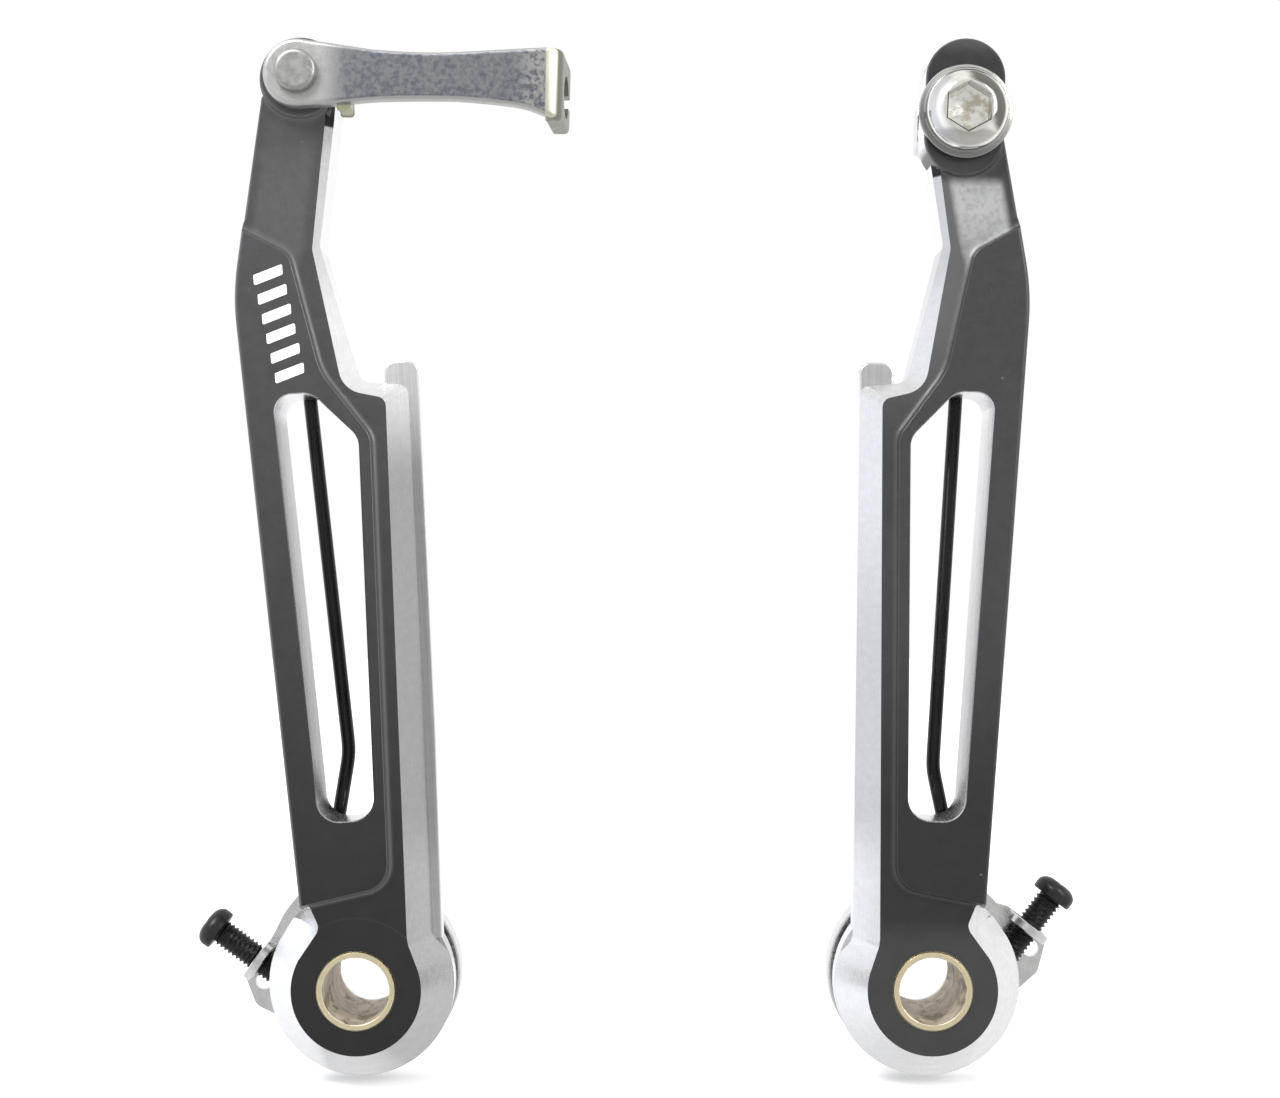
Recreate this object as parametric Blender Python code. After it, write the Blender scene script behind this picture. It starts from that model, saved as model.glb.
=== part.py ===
"""A pair of linear-pull bicycle brake arms with their springs, spring seats and cable fittings.

Metres, +Z up the arms, +X from the left arm to the right, -Y towards the rider's side, where the
faces with the bores' front ends are. The world's origin is the middle of the pair's box. Everything
hangs from one empty at the left pivot's foot, and the depths below are counted from there: y = 0 is
the plane of the frame bosses that the spring seats stand against.

Each arm is drawn once in its own plane, in millimetres: u points from the outer edge towards the
other arm, w points up the arm from the pivot. The right arm is the mirror image of the left.
"""

import math

import bmesh
import bpy
from mathutils import Matrix, Vector

MM = 0.001
PIVOT_SPACING = 69.3
LEAN = {"left": math.radians(4.0), "right": math.radians(2.0)}  # outwards, from upright
SIGN = {"left": 1.0, "right": -1.0}
PIVOT_X = {"left": 0.0, "right": PIVOT_SPACING}
PAIR_AT = (-33.172, 9.05, -51.069)  # the left pivot's foot, counted from the middle of the pair's box

# Depths, as y in millimetres: the front of the arm is the most negative.
PANEL_Y = -17.3
FACE_Y = -16.5
ARM_BACK_Y = -8.9
HUB_BACK_Y = -7.6
RAISE = FACE_Y - PANEL_Y

BOSS_R = 7.75  # dark front face round the bore
HUB_R = 11.35  # the cone's wide end
HUB_CHAMFER = 5.4
BORE_R = 4.8
BUSH_R = 4.7
BUSH_BORE_R = 4.0
HEAD_AT = {"left": (1.05, 109.75), "right": (0.0, 109.4)}
HEAD_R = {"left": 5.0, "right": 4.6}
ARC_STEPS = 4
ROUND = 48

# The arm's outline: (u, w, corner radius) on the front face, the same on the rim behind the
# chamfer, the rim's depth behind the face, and whether the corner is on the raised panel.
SIDE_UP = [
    ((-5.50, 10.85, 0), (-5.95, 10.60, 0), 0.6, True),
    ((-8.28, 84.20, 30), (-8.78, 84.30, 30), 0.5, True),
    ((-6.72, 92.30, 0), (-7.15, 92.30, 0), 0.5, True),
    ((-6.50, 93.30, 0), (-6.95, 93.30, 0), 0.5, False),
]
SHOULDER = {
    "left": ((-3.45, 107.80, 0.8), (-3.85, 107.90, 0.6), 0.5, False),
    "right": ((-3.72, 106.50, 0.8), (-4.10, 106.90, 0.6), 0.5, False),
}
SIDE_DOWN = [
    ((3.75, 105.20, 1.2), (5.05, 104.20, 1.2), 1.3, False),
    ((1.00, 89.20, 2.0), (2.25, 89.90, 2.0), 1.5, False),
    ((3.50, 72.15, 3.2), (5.75, 73.30, 1.6), 2.8, False),
    ((8.55, 70.80, 1.2), (11.60, 72.90, 1.2), 3.6, False),
    ((6.55, 5.10, 2.4), (10.10, 5.30, 2.4), 4.6, False),
]
FLANK = [
    ((-3.75, 7.70, 1.6), (-7.95, 8.35, 3.0), HUB_CHAMFER, False),
    ((-4.75, 10.35, 0.9), (-6.35, 9.75, 0.3), 3.0, False),
]
HEAD_ARC = {"left": (200.0, -38.0, 18), "right": (208.0, -30.0, 18)}  # from, to, steps
HUB_ARC = (16.0, -212.0, 30)

WINDOW = [
    (-2.85, 20.5, 2.7),
    (3.80, 20.5, 2.7),
    (5.05, 66.3, 2.6),
    (-0.20, 71.95, 2.6),
    (-4.78, 71.95, 2.4),
]

# The edge of the raised panel, from the outer edge at the neck to the outer edge above the hub.
RIDGE = [
    (-14.0, 96.0, 0),
    (-1.75, 88.8, 2.4),
    (1.05, 74.4, 8.0),
    (6.55, 66.4, 3.4),
    (4.95, 12.4, 3.2),
    (-14.0, 9.3, 0),
]
RIDGE_OUTSIDE = [(-14.0, -16.0, 0), (20.0, -16.0, 0), (20.0, 122.0, 0), (-14.0, 122.0, 0)]
RIDGE_FILLET = [(0.0, -17.15), (0.22, -16.85), (0.48, -16.64), (0.95, FACE_Y)]  # offset, y

LUG = [(8.3, 66.0, 0), (12.0, 66.0, 0), (12.25, 75.7, 1.4), (8.6, 75.7, 1.4)]
LUG_Y = (-12.2, -9.05)

CAPSULE_W = (102.5, 109.5)
CAPSULE_R = 4.75
CAPSULE_Y = -17.6
HEAD_DISC_R = 4.8
HEAD_DISC_Y = -17.3
BOLT_W = 105.3
RIVET_R = 1.9
BOLT_R = 2.95
STOP_PIN = (1.95, 73.6)
STOP_PIN_R = 1.5

# Spring seat, in its own plane: the ear with the screw is on the outer side.
SEAT_R = 12.4
SEAT_WALL = 1.0
SEAT_BORE_R = 4.15
SEAT_RING_R = 6.9
SEAT_TURN = {"left": math.radians(5.5), "right": math.radians(21.5)}
TAB_AT = 14.8
TAB_HALF = 3.0
TAB_THICK = 1.6
SCREW_Y = -3.3
SCREW_LEAN = math.radians(31.0)
SCREW_R = 1.7
SCREW_CORE_R = 1.4
SCREW_LENGTH = 10.6
SCREW_SHOWS = {"left": 5.6, "right": 4.2}  # thread between tab and head
SEAT_PIN_AT = (9.2, math.radians(125.0))

# Spring
WIRE_R = 0.82
COIL_R = 6.6
COIL_FRONT_Y = -5.9
COIL_BACK_Y = -2.5
LEG_Y = -7.4
KINK = (1.2, 29.0)
LEG_TOP = (-1.0, 77.0)
LEG_END = 8.0

# Link
LINK_Y = (-19.8, -17.8)
LINK_DROP = math.radians(2.0)  # below level, pointing at the other arm
LINK_OUTLINE = [
    (3.8, 3.60, 0), (9.8, 2.80, 0), (15.8, 2.60, 0), (21.8, 2.95, 0), (29.9, 3.80, 0),
    (30.5, 3.80, 0), (30.5, -5.5, 0), (29.2, -4.85, 0), (26.3, -3.75, 0), (20.3, -2.95, 0),
    (15.8, -2.9, 0), (9.8, -3.05, 0), (5.1, -3.6, 0), (4.0, -3.75, 0),
]
LINK_EYE_R = 4.0


def unit(vector):
    return vector / math.hypot(*vector)


def arc(radius, start, end, steps, centre=(0.0, 0.0)):
    """Points along a circle, angles in degrees, both ends included."""
    angles = [math.radians(start + (end - start) * i / steps) for i in range(steps + 1)]
    return [(centre[0] + radius * math.cos(a), centre[1] + radius * math.sin(a)) for a in angles]


def rounded(corners, closed=True):
    """The corners' outline as points, with an arc of its own radius at each."""
    points = []
    count = len(corners)
    for i, (x, y, radius) in enumerate(corners):
        here = Vector((x, y))
        if radius == 0 or (not closed and i in (0, count - 1)):
            points.append((x, y))
            continue
        before = Vector(corners[i - 1][:2]) - here
        after = Vector(corners[(i + 1) % count][:2]) - here
        half = before.angle(after) / 2
        reach = min(radius / math.tan(half), 0.48 * before.length, 0.48 * after.length)
        radius = reach * math.tan(half)
        middle = here + (before.normalized() + after.normalized()).normalized() * (
            radius / math.sin(half)
        )
        first = here + before.normalized() * reach - middle
        turn = first.angle_signed(here + after.normalized() * reach - middle)
        for step in range(ARC_STEPS + 1):
            spoke = first.copy()
            spoke.rotate(Matrix.Rotation(-turn * step / ARC_STEPS, 2))
            points.append(tuple(middle + spoke))
    return points


def offset(points, distance):
    """An open line moved sideways, to the left of its direction."""
    moved = []
    for i, point in enumerate(points):
        before = Vector(points[max(i - 1, 0)])
        after = Vector(points[min(i + 1, len(points) - 1)])
        along = (after - before).normalized()
        moved.append((point[0] - along.y * distance, point[1] + along.x * distance))
    return moved


def scene_object(name, mesh, helper=False):
    obj = bpy.data.objects.new(name, mesh)
    bpy.context.scene.collection.objects.link(obj)
    if helper:
        obj.hide_render = True
        obj.display_type = "WIRE"
    return obj


def mesh_from(name, build, side="left"):
    """A mesh in metres from a function that fills a bmesh in millimetres, mirrored for the right."""
    made = bmesh.new()
    build(made)
    bmesh.ops.scale(made, vec=(MM * SIGN[side], MM, MM), verts=made.verts)
    bmesh.ops.recalc_face_normals(made, faces=made.faces)
    bmesh.ops.triangulate(made, faces=made.faces)
    mesh = bpy.data.meshes.new(name)
    made.to_mesh(mesh)
    made.free()
    return mesh


def loft(made, rings):
    """A closed skin through rings of (x, y, z) points, with a flat cap on each end."""
    rows = [[made.verts.new(p) for p in ring] for ring in rings]
    count = len(rows[0])
    for low, high in zip(rows, rows[1:]):
        for i in range(count):
            j = (i + 1) % count
            made.faces.new((low[i], low[j], high[j], high[i]))
    made.faces.new(rows[0])
    made.faces.new(reversed(rows[-1]))


def prism(made, outline, y_from, y_to):
    """The (u, w) outline between two depths."""
    loft(made, [[(u, y, w) for u, w in outline] for y in (y_from, y_to)])


def cylinder(made, radius, y_from, y_to, centre=(0.0, 0.0), steps=ROUND):
    outline = arc(radius, 0, 360 - 360 / steps, steps - 1, centre)
    prism(made, outline, y_from, y_to)


def lathe(made, profile, steps=ROUND, centre=(0.0, 0.0)):
    """A closed (radius, y) profile turned about the Y direction, as a ring with a bore."""
    rows = []
    for i in range(steps):
        angle = 2 * math.pi * i / steps
        across, up = math.cos(angle), math.sin(angle)
        rows.append(
            [made.verts.new((centre[0] + r * across, y, centre[1] + r * up)) for r, y in profile]
        )
    count = len(profile)
    for i in range(steps):
        here, after = rows[i], rows[(i + 1) % steps]
        for j in range(count):
            k = (j + 1) % count
            made.faces.new((here[j], here[k], after[k], after[j]))


def spindle(made, profile, steps):
    """A solid (radius, height) profile turned about the Z direction, closed at both ends."""
    rings = []
    for radius, height in profile:
        turn = [2 * math.pi * i / steps for i in range(steps)]
        rings.append([(radius * math.cos(a), radius * math.sin(a), height) for a in turn])
    loft(made, rings)


def tube(made, path, radius, steps=10):
    """A round wire along the path, with a section that doesn't twist."""
    points = [Vector(p) for p in path]
    normal = Vector((0, 1, 0))
    rings = []
    for i, point in enumerate(points):
        along = (points[min(i + 1, len(points) - 1)] - points[max(i - 1, 0)]).normalized()
        normal = (normal - along * normal.dot(along)).normalized()
        side = along.cross(normal)
        turn = [2 * math.pi * k / steps for k in range(steps)]
        rings.append(
            [tuple(point + radius * (normal * math.cos(a) + side * math.sin(a))) for a in turn]
        )
    loft(made, rings)


def cut(obj, tool, operation="DIFFERENCE"):
    modifier = obj.modifiers.new(tool.name, "BOOLEAN")
    modifier.operation = operation
    modifier.solver = "EXACT"
    modifier.object = tool
    tool.parent = obj.parent
    tool.matrix_parent_inverse = Matrix.Identity(4)


def material(name, colour, metallic, roughness):
    made = bpy.data.materials.new(name)
    made.use_nodes = True
    shader = made.node_tree.nodes["Principled BSDF"]
    shader.inputs["Base Color"].default_value = (*colour, 1.0)
    shader.inputs["Metallic"].default_value = metallic
    shader.inputs["Roughness"].default_value = roughness
    return made


def part(name, build, parent, finish, side="left", smooth=True):
    """One named piece of the object, parented with no transform of its own."""
    mesh = mesh_from(name, build, side)
    if smooth:
        for face in mesh.polygons:
            face.use_smooth = True
    mesh.materials.append(material(name, *finish))
    obj = scene_object(name, mesh)
    obj.parent = parent
    return obj


def tool(name, build, side="left"):
    return scene_object(name, mesh_from(name, build, side), helper=True)


def frame_at(name, location, rotation, parent=None):
    empty = scene_object(name, None)
    empty.location = location
    empty.rotation_euler = rotation
    empty.parent = parent
    return empty


ANODISED = ((0.09, 0.09, 0.095), 0.7, 0.4)
BRONZE = ((0.62, 0.45, 0.2), 1.0, 0.35)
SPRING_STEEL = ((0.03, 0.03, 0.032), 0.6, 0.45)
ZINC = ((0.7, 0.7, 0.7), 1.0, 0.25)
BLACK_STEEL = ((0.02, 0.02, 0.02), 0.5, 0.4)
GALVANISED = ((0.45, 0.46, 0.48), 1.0, 0.4)
CHROMED = ((0.75, 0.74, 0.7), 1.0, 0.15)
NYLON = ((0.025, 0.025, 0.025), 0.0, 0.6)


def arm_rings(side):
    """The outline on the front plane, on the rim and on the back, as matching rings of points."""
    head_r = HEAD_R[side]
    stretches = [
        SIDE_UP + [SHOULDER[side]],
        [(HEAD_ARC[side], head_r - 0.45, head_r, HEAD_AT[side], 0.45)],
        SIDE_DOWN,
        [(HUB_ARC, BOSS_R, HUB_R, (0.0, 0.0), HUB_CHAMFER)],
        FLANK,
    ]
    corners, rims, depths, raised = [], [], [], []
    for stretch in stretches:
        if len(stretch) == 1:
            (start, end, steps), inner, outer, centre, depth = stretch[0]
            corners += [(*p, 0) for p in arc(inner, start, end, steps, centre)]
            rims += [(*p, 0) for p in arc(outer, start, end, steps, centre)]
            depths += [depth] * (steps + 1)
            raised += [False] * (steps + 1)
            continue
        for corner, rim, depth, on_panel in stretch:
            corners.append(corner)
            rims.append(rim)
            depths.append(depth)
            raised.append(on_panel)
    per_corner = [1 if c[2] == 0 else ARC_STEPS + 1 for c in corners]
    depths = [d for d, n in zip(depths, per_corner) for _ in range(n)]
    raised = [r for r, n in zip(raised, per_corner) for _ in range(n)]
    front, rim_ring, back = [], [], []
    for (u, w), (rim_u, rim_w), depth, on_panel in zip(
        rounded(corners), rounded(rims), depths, raised
    ):
        level = PANEL_Y if on_panel else FACE_Y
        stretch = (level - PANEL_Y) / depth  # carries the slope up to the panel's plane
        front.append((u + (u - rim_u) * stretch, PANEL_Y, w + (w - rim_w) * stretch))
        rim_ring.append((rim_u, level + depth, rim_w))
        back.append((rim_u, ARM_BACK_Y, rim_w))
    return [front, rim_ring, back]


def ridge_rings():
    """Rings of the cutter that leaves the panel raised, with a hollow fillet along its edge."""
    edge = rounded(RIDGE, closed=False)
    outside = [(u, w) for u, w, _ in RIDGE_OUTSIDE]
    rings = [[(u, PANEL_Y - 10, w) for u, w in edge + outside]]
    for distance, y in RIDGE_FILLET:
        rings.append([(u, y, w) for u, w in offset(edge, distance) + outside])
    return rings


def build_arm(side, pivot):
    name = f"{side}_brake_arm"
    arm = part(name, lambda m: loft(m, arm_rings(side)), pivot, ANODISED, side, smooth=False)
    cut(arm, tool(f"{name}_ridge", lambda m: loft(m, ridge_rings()), side))
    added = {
        "hub": lambda m: cylinder(m, HUB_R - 0.15, -11.0, HUB_BACK_Y),
        "lug": lambda m: prism(m, rounded(LUG), *LUG_Y),
    }
    if side == "left":
        added["disc"] = lambda m: cylinder(m, HEAD_DISC_R, HEAD_DISC_Y, -12.0, HEAD_AT["left"])
    else:
        low, high = CAPSULE_W
        outline = arc(CAPSULE_R, 0, 180, 14, (0, high)) + arc(CAPSULE_R, 180, 360, 14, (0, low))
        added["disc"] = lambda m: prism(m, outline, CAPSULE_Y, -12.0)
    for what, build in added.items():
        cut(arm, tool(f"{name}_{what}", build, side), "UNION")
    head_hole = (RIVET_R + 0.1, HEAD_AT["left"]) if side == "left" else (BOLT_R + 0.1, (0, BOLT_W))
    removed = {
        "window": lambda m: prism(m, rounded(WINDOW), -25, 0),
        "bore": lambda m: cylinder(m, BORE_R, -25, 0),
        "head_hole": lambda m: cylinder(m, head_hole[0], -25, 0, head_hole[1], 24),
        "pin_hole": lambda m: cylinder(m, STOP_PIN_R + 0.1, -11.2, 0, STOP_PIN, 20),
    }
    for what, build in removed.items():
        cut(arm, tool(f"{name}_{what}", build, side))
    return arm


def spring_path(side):
    """Centre line of the wire: top of the long leg, kink, coil, then the short leg to the screw."""
    kink = Vector(KINK)
    lean_in = math.asin(COIL_R / kink.length)
    heading = math.atan2(-kink.y, -kink.x) - lean_in
    first = heading - math.pi / 2  # angle on the coil where the long leg meets it
    if first < 0:
        first += 2 * math.pi
    seat = SEAT_TURN[side] + LEAN[side]
    extra = math.radians(3.2) if side == "right" else 0.0
    last = math.pi - SCREW_LEAN - seat + extra + 4 * math.pi
    points = []
    top = Vector(LEG_TOP)
    for i in range(7):
        point = top.lerp(kink, i / 6 * 0.985)
        points.append((point.x, LEG_Y, point.y))
    touch = Vector((math.cos(first), math.sin(first))) * COIL_R
    for share, y in ((0.03, LEG_Y), (0.25, LEG_Y), (0.46, -6.9), (0.64, -5.95), (0.85, COIL_FRONT_Y)):
        point = kink.lerp(touch, share)
        points.append((point.x, y, point.y))
    steps = 50
    for i in range(steps + 1):
        angle = first + (last - first) * i / steps
        y = COIL_FRONT_Y + (COIL_BACK_Y - COIL_FRONT_Y) * i / steps
        points.append((COIL_R * math.cos(angle), y, COIL_R * math.sin(angle)))
    end = Vector((math.cos(last), math.sin(last))) * COIL_R
    along = Vector((-math.sin(last), math.cos(last)))
    for reach in (0.5 * LEG_END, LEG_END):
        point = end + along * reach
        points.append((point.x, COIL_BACK_Y, point.y))
    return points


def build_spring(side, pivot):
    path = spring_path(side)
    part(f"{side}_return_spring", lambda m: tube(m, path, WIRE_R), pivot, SPRING_STEEL, side)
    sleeve = [(LEG_TOP[0] + 0.0457 * d, LEG_Y, LEG_TOP[1] - d) for d in (-0.4, 1.0, 3.0, 4.6)]

    def build(made):
        outer, inner = WIRE_R + 0.55, WIRE_R + 0.1
        lathe_at(made, sleeve, outer, inner)

    part(f"{side}_spring_sleeve", build, pivot, NYLON, side)


def lathe_at(made, path, outer, inner, steps=14):
    """A pipe with open ends along a straight path."""
    start, end = Vector(path[0]), Vector(path[-1])
    along = (end - start).normalized()
    normal = Vector((0, 1, 0))
    across = along.cross(normal)
    rings = []
    for centre, radius in ((start, inner), (start, outer), (end, outer), (end, inner)):
        turn = [2 * math.pi * k / steps for k in range(steps)]
        rings.append(
            [
                made.verts.new(centre + radius * (normal * math.cos(a) + across * math.sin(a)))
                for a in turn
            ]
        )
    for j in range(4):
        low, high = rings[j], rings[(j + 1) % 4]
        for i in range(steps):
            k = (i + 1) % steps
            made.faces.new((low[i], low[k], high[k], high[i]))


def build_pivot_group(side, pair):
    pivot = frame_at(
        f"{side}_arm_pivot", (PIVOT_X[side] * MM, 0, 0), (0, -SIGN[side] * LEAN[side], 0), pair
    )
    build_arm(side, pivot)
    bush = [(BUSH_BORE_R, -16.65), (BUSH_R, -16.65), (BUSH_R, -1.6), (BUSH_BORE_R, -1.6)]
    part(f"{side}_pivot_bush", lambda m: lathe(m, bush), pivot, BRONZE, side)
    washer = [(5.0, -7.5), (10.8, -7.5), (10.8, -6.95), (5.0, -6.95)]
    part(f"{side}_dust_washer", lambda m: lathe(m, washer), pivot, NYLON, side)
    pin = [(STOP_PIN_R, -10.9), (STOP_PIN_R, -6.2), (STOP_PIN_R - 0.4, -5.8)]
    part(
        f"{side}_spring_stop_pin",
        lambda m: loft(
            m, [[(u, y, w) for u, w in arc(r, 0, 342, 19, STOP_PIN)] for r, y in pin]
        ),
        pivot,
        ZINC,
        side,
    )
    build_spring(side, pivot)
    return pivot


def seat_profile():
    return [
        (SEAT_BORE_R, 0.0), (SEAT_RING_R, 0.0), (SEAT_RING_R, -0.4), (SEAT_R, -0.4),
        (SEAT_R, -4.6), (SEAT_R - SEAT_WALL, -4.6), (SEAT_R - SEAT_WALL, -1.4),
        (SEAT_BORE_R, -1.4),
    ]


def along_screw(distance, across=0.0):
    """A point of the seat's plane, by distance from the pivot's foot on the screw's axis."""
    axis = Vector((-math.cos(SCREW_LEAN), math.sin(SCREW_LEAN)))
    side = Vector((axis.y, -axis.x))
    tab = Vector((-TAB_AT, 0.0))
    return tab + axis * (distance - tab.dot(axis)) + side * across


def tab_distance():
    return TAB_AT * math.cos(SCREW_LEAN)


def build_seat(side, pair):
    turned = SIGN[side] * SEAT_TURN[side]
    seat_frame = frame_at(f"{side}_seat_frame", (PIVOT_X[side] * MM, 0, 0), (0, turned, 0), pair)
    name = f"{side}_spring_seat"
    seat = part(name, lambda m: lathe(m, seat_profile()), seat_frame, ZINC, side)
    at = tab_distance()
    half = TAB_THICK / 2
    upper, lower = along_screw(at, TAB_HALF), along_screw(at, -TAB_HALF)
    ear = [
        (*along_screw(at + half, TAB_HALF), 0.6), (*along_screw(at + half, -TAB_HALF), 0.9),
        (-7.9, -9.4, 0), (-8.2, -6.0, 0), (-8.2, 5.6, 0), (-10.4, 6.2, 0.8),
    ]
    if upper.y < lower.y:
        ear = ear[::-1]
    cut(seat, tool(f"{name}_ear", lambda m: prism(m, rounded(ear), -0.45, -1.55), side), "UNION")

    def tab(made):
        rows = []
        for distance in (at - half, at + half):
            outline = [(-TAB_HALF + 0.15, -0.8), (TAB_HALF - 0.15, -0.8)]
            outline += [
                (c, SCREW_Y - 0.1 + d) for c, d in arc(TAB_HALF - 0.15, 0, -180, 14)
            ]
            rows.append([(*along_screw(distance, c), y) for c, y in outline])
        loft(made, [[(u, y, w) for u, w, y in row] for row in rows])

    cut(seat, tool(f"{name}_tab", tab, side), "UNION")

    def bar(made, radius, start, end, steps=20):
        rows = []
        for distance in (start, end):
            ring = arc(radius, 0, 360 - 360 / steps, steps - 1)
            rows.append([(*along_screw(distance, c), SCREW_Y + d) for c, d in ring])
        loft(made, [[(u, y, w) for u, w, y in row] for row in rows])

    cut(seat, tool(f"{name}_thread", lambda m: bar(m, SCREW_R + 0.12, 6.2, 18), side))
    cut(seat, tool(f"{name}_eyelet", lambda m: cylinder(m, 1.1, -5, 2, (-13.4, -4.2), 16), side))
    pin_u = SEAT_PIN_AT[0] * math.cos(SEAT_PIN_AT[1])
    pin_w = SEAT_PIN_AT[0] * math.sin(SEAT_PIN_AT[1])
    cut(seat, tool(f"{name}_pin_hole", lambda m: cylinder(m, 1.3, -5, 2, (pin_u, pin_w), 16), side))
    pin = [(1.2, -1.35), (1.2, 3.1), (0.8, 3.5)]
    part(
        f"{side}_seat_pin",
        lambda m: loft(
            m,
            [[(u, y, w) for u, w in arc(r, 0, 337.5, 15, (pin_u, pin_w))] for r, y in pin],
        ),
        seat_frame,
        ZINC,
        side,
    )
    build_screw(side, seat_frame)


def build_screw(side, seat_frame):
    """The tension screw, in a frame with its own Z axis along the thread towards the head."""
    under_head = tab_distance() + TAB_THICK / 2 + SCREW_SHOWS[side]
    at = along_screw(under_head)
    lean = -SIGN[side] * (math.pi / 2 - SCREW_LEAN)
    screw_frame = frame_at(
        f"{side}_screw_frame",
        (SIGN[side] * at.x * MM, SCREW_Y * MM, at.y * MM),
        (0, lean, 0),
        seat_frame,
    )
    profile = [(0.9, -SCREW_LENGTH), (SCREW_CORE_R, -SCREW_LENGTH + 0.6)]
    turns, pitch = 15, 0.6
    for i in range(turns):
        foot = -SCREW_LENGTH + 0.75 + i * pitch
        profile += [(SCREW_R, foot + 0.25), (SCREW_CORE_R, foot + 0.5)]
    profile += [(SCREW_CORE_R, 0.0), (2.8, 0.0), (2.85, 1.3), (2.45, 1.95), (1.6, 2.3)]
    name = f"{side}_tension_screw"
    screw = part(name, lambda m: spindle(m, profile, 16), screw_frame, BLACK_STEEL)
    for i, (long, wide) in enumerate(((3.1, 0.75), (0.75, 3.1))):
        box = [(-long / 2, -wide / 2), (long / 2, -wide / 2), (long / 2, wide / 2),
               (-long / 2, wide / 2)]
        slot = tool(
            f"{name}_slot_{i}", lambda m: loft(m, [[(x, y, z) for x, y in box] for z in (1.0, 4)])
        )
        cut(screw, slot)


def link_outline():
    eye = arc(LINK_EYE_R, 300, 62, 16)
    return eye + [(s, v) for s, v, _ in LINK_OUTLINE]


def build_link(pivot):
    """Link plate with its keyhole end and stop tab, on the left arm's rivet."""
    u, w = HEAD_AT["left"]
    frame = frame_at("link_pivot", (u * MM, 0, w * MM), (0, LEAN["left"] + LINK_DROP, 0), pivot)
    front, back = LINK_Y
    link = part("noodle_link", lambda m: prism(m, link_outline(), front, back), frame, GALVANISED,
                smooth=False)

    def end_plate(made):
        outline = [(29.5, front), (30.8, front), (31.4, front + 0.6), (32.1, -9.6), (30.2, -9.6),
                   (29.4, front + 1.6)]
        loft(made, [[(s, y, v) for s, y in outline] for v in (-5.55, 3.8)])

    def stop_tab(made):
        outline = [(5.3, -3.2), (6.9, -3.2), (6.9, -4.6), (5.3, -4.6)]
        prism(made, outline, front + 0.2, -13.2)

    def keyhole(made):
        rows = []
        for s in (28, 38):
            ring = arc(2.6, 115, 425, 20, (-0.9, -14.2)) + [(0.2, -8.0), (-2.0, -8.0)]
            rows.append([(s, y, v) for v, y in ring])
        loft(made, rows)

    cut(link, tool("noodle_link_end", end_plate), "UNION")
    cut(link, tool("noodle_link_tab", stop_tab), "UNION")
    cut(link, tool("noodle_link_keyhole", keyhole))
    cut(link, tool("noodle_link_eye", lambda m: cylinder(m, RIVET_R + 0.1, -25, 0, steps=24)))
    spacer = [(RIVET_R + 0.1, -17.7), (3.9, -17.7), (3.9, -17.4), (RIVET_R + 0.1, -17.4)]
    part("link_spacer", lambda m: lathe(m, spacer, 32), frame, ZINC)
    return frame


def build_rivet(pivot):
    head = [(1.6, -21.1), (2.2, -21.0), (2.5, -20.6), (2.5, -19.9), (RIVET_R, -19.9),
            (RIVET_R, -8.0), (2.6, -7.95), (2.6, -7.3), (1.8, -6.9)]
    part(
        "link_rivet",
        lambda m: loft(
            m, [[(u, y, w) for u, w in arc(r, 0, 345, 23, HEAD_AT["left"])] for r, y in head]
        ),
        pivot,
        ZINC,
    )
    washer = [(RIVET_R + 0.1, -8.8), (3.8, -8.8), (3.8, -8.1), (RIVET_R + 0.1, -8.1)]
    part("rivet_washer", lambda m: lathe(m, washer, 32, HEAD_AT["left"]), pivot, ZINC)


def hexagon(across_flats, centre=(0.0, 0.0)):
    return arc(across_flats / math.sqrt(3), 30, 330, 5, centre)


def build_anchor(pivot):
    """Cable anchor: socket bolt, washer and nut on the right arm's head."""
    frame = frame_at("anchor_axis", (0, 0, BOLT_W * MM), (0, 0, 0), pivot)
    washer = [(BOLT_R + 0.1, -19.1), (5.2, -19.1), (5.6, -18.7), (5.6, -17.75),
              (BOLT_R + 0.1, -17.75)]
    part("anchor_washer", lambda m: lathe(m, washer, ROUND), frame, CHROMED, "right")
    bolt = [(3.5, -21.6), (4.2, -20.9), (4.2, -19.2), (BOLT_R, -19.2), (BOLT_R, -3.6),
            (BOLT_R - 0.6, -3.0)]
    made = part(
        "anchor_bolt",
        lambda m: loft(m, [[(u, y, w) for u, w in arc(r, 0, 350, 35)] for r, y in bolt]),
        frame,
        CHROMED,
        "right",
    )
    cut(made, tool("anchor_bolt_socket", lambda m: prism(m, hexagon(5.0), -30, -19.9), "right"))
    nut = part("anchor_nut", lambda m: prism(m, hexagon(9.0), -8.8, -5.4), frame, CHROMED,
               "right", smooth=False)
    cut(nut, tool("anchor_nut_bore", lambda m: cylinder(m, BOLT_R + 0.1, -12, 0, steps=36), "right"))


def clear_scene():
    for obj in list(bpy.data.objects):
        bpy.data.objects.remove(obj, do_unlink=True)


clear_scene()
PAIR = frame_at("pair", [v * MM for v in PAIR_AT], (0, 0, 0))
PIVOTS = {side: build_pivot_group(side, PAIR) for side in ("left", "right")}
for each_side in ("left", "right"):
    build_seat(each_side, PAIR)
build_link(PIVOTS["left"])
build_rivet(PIVOTS["left"])
build_anchor(PIVOTS["right"])
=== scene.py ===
"""Looks for a pair of linear-pull bicycle brake arms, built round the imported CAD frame.

Shapes are drawn in millimetres in each arm's own plane: u towards the other arm, w up the arm from
the pivot, y the depth counted from the frame boss (more negative is nearer the viewer).
"""

import math

import bmesh
import bpy
from mathutils import Matrix, Vector


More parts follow.
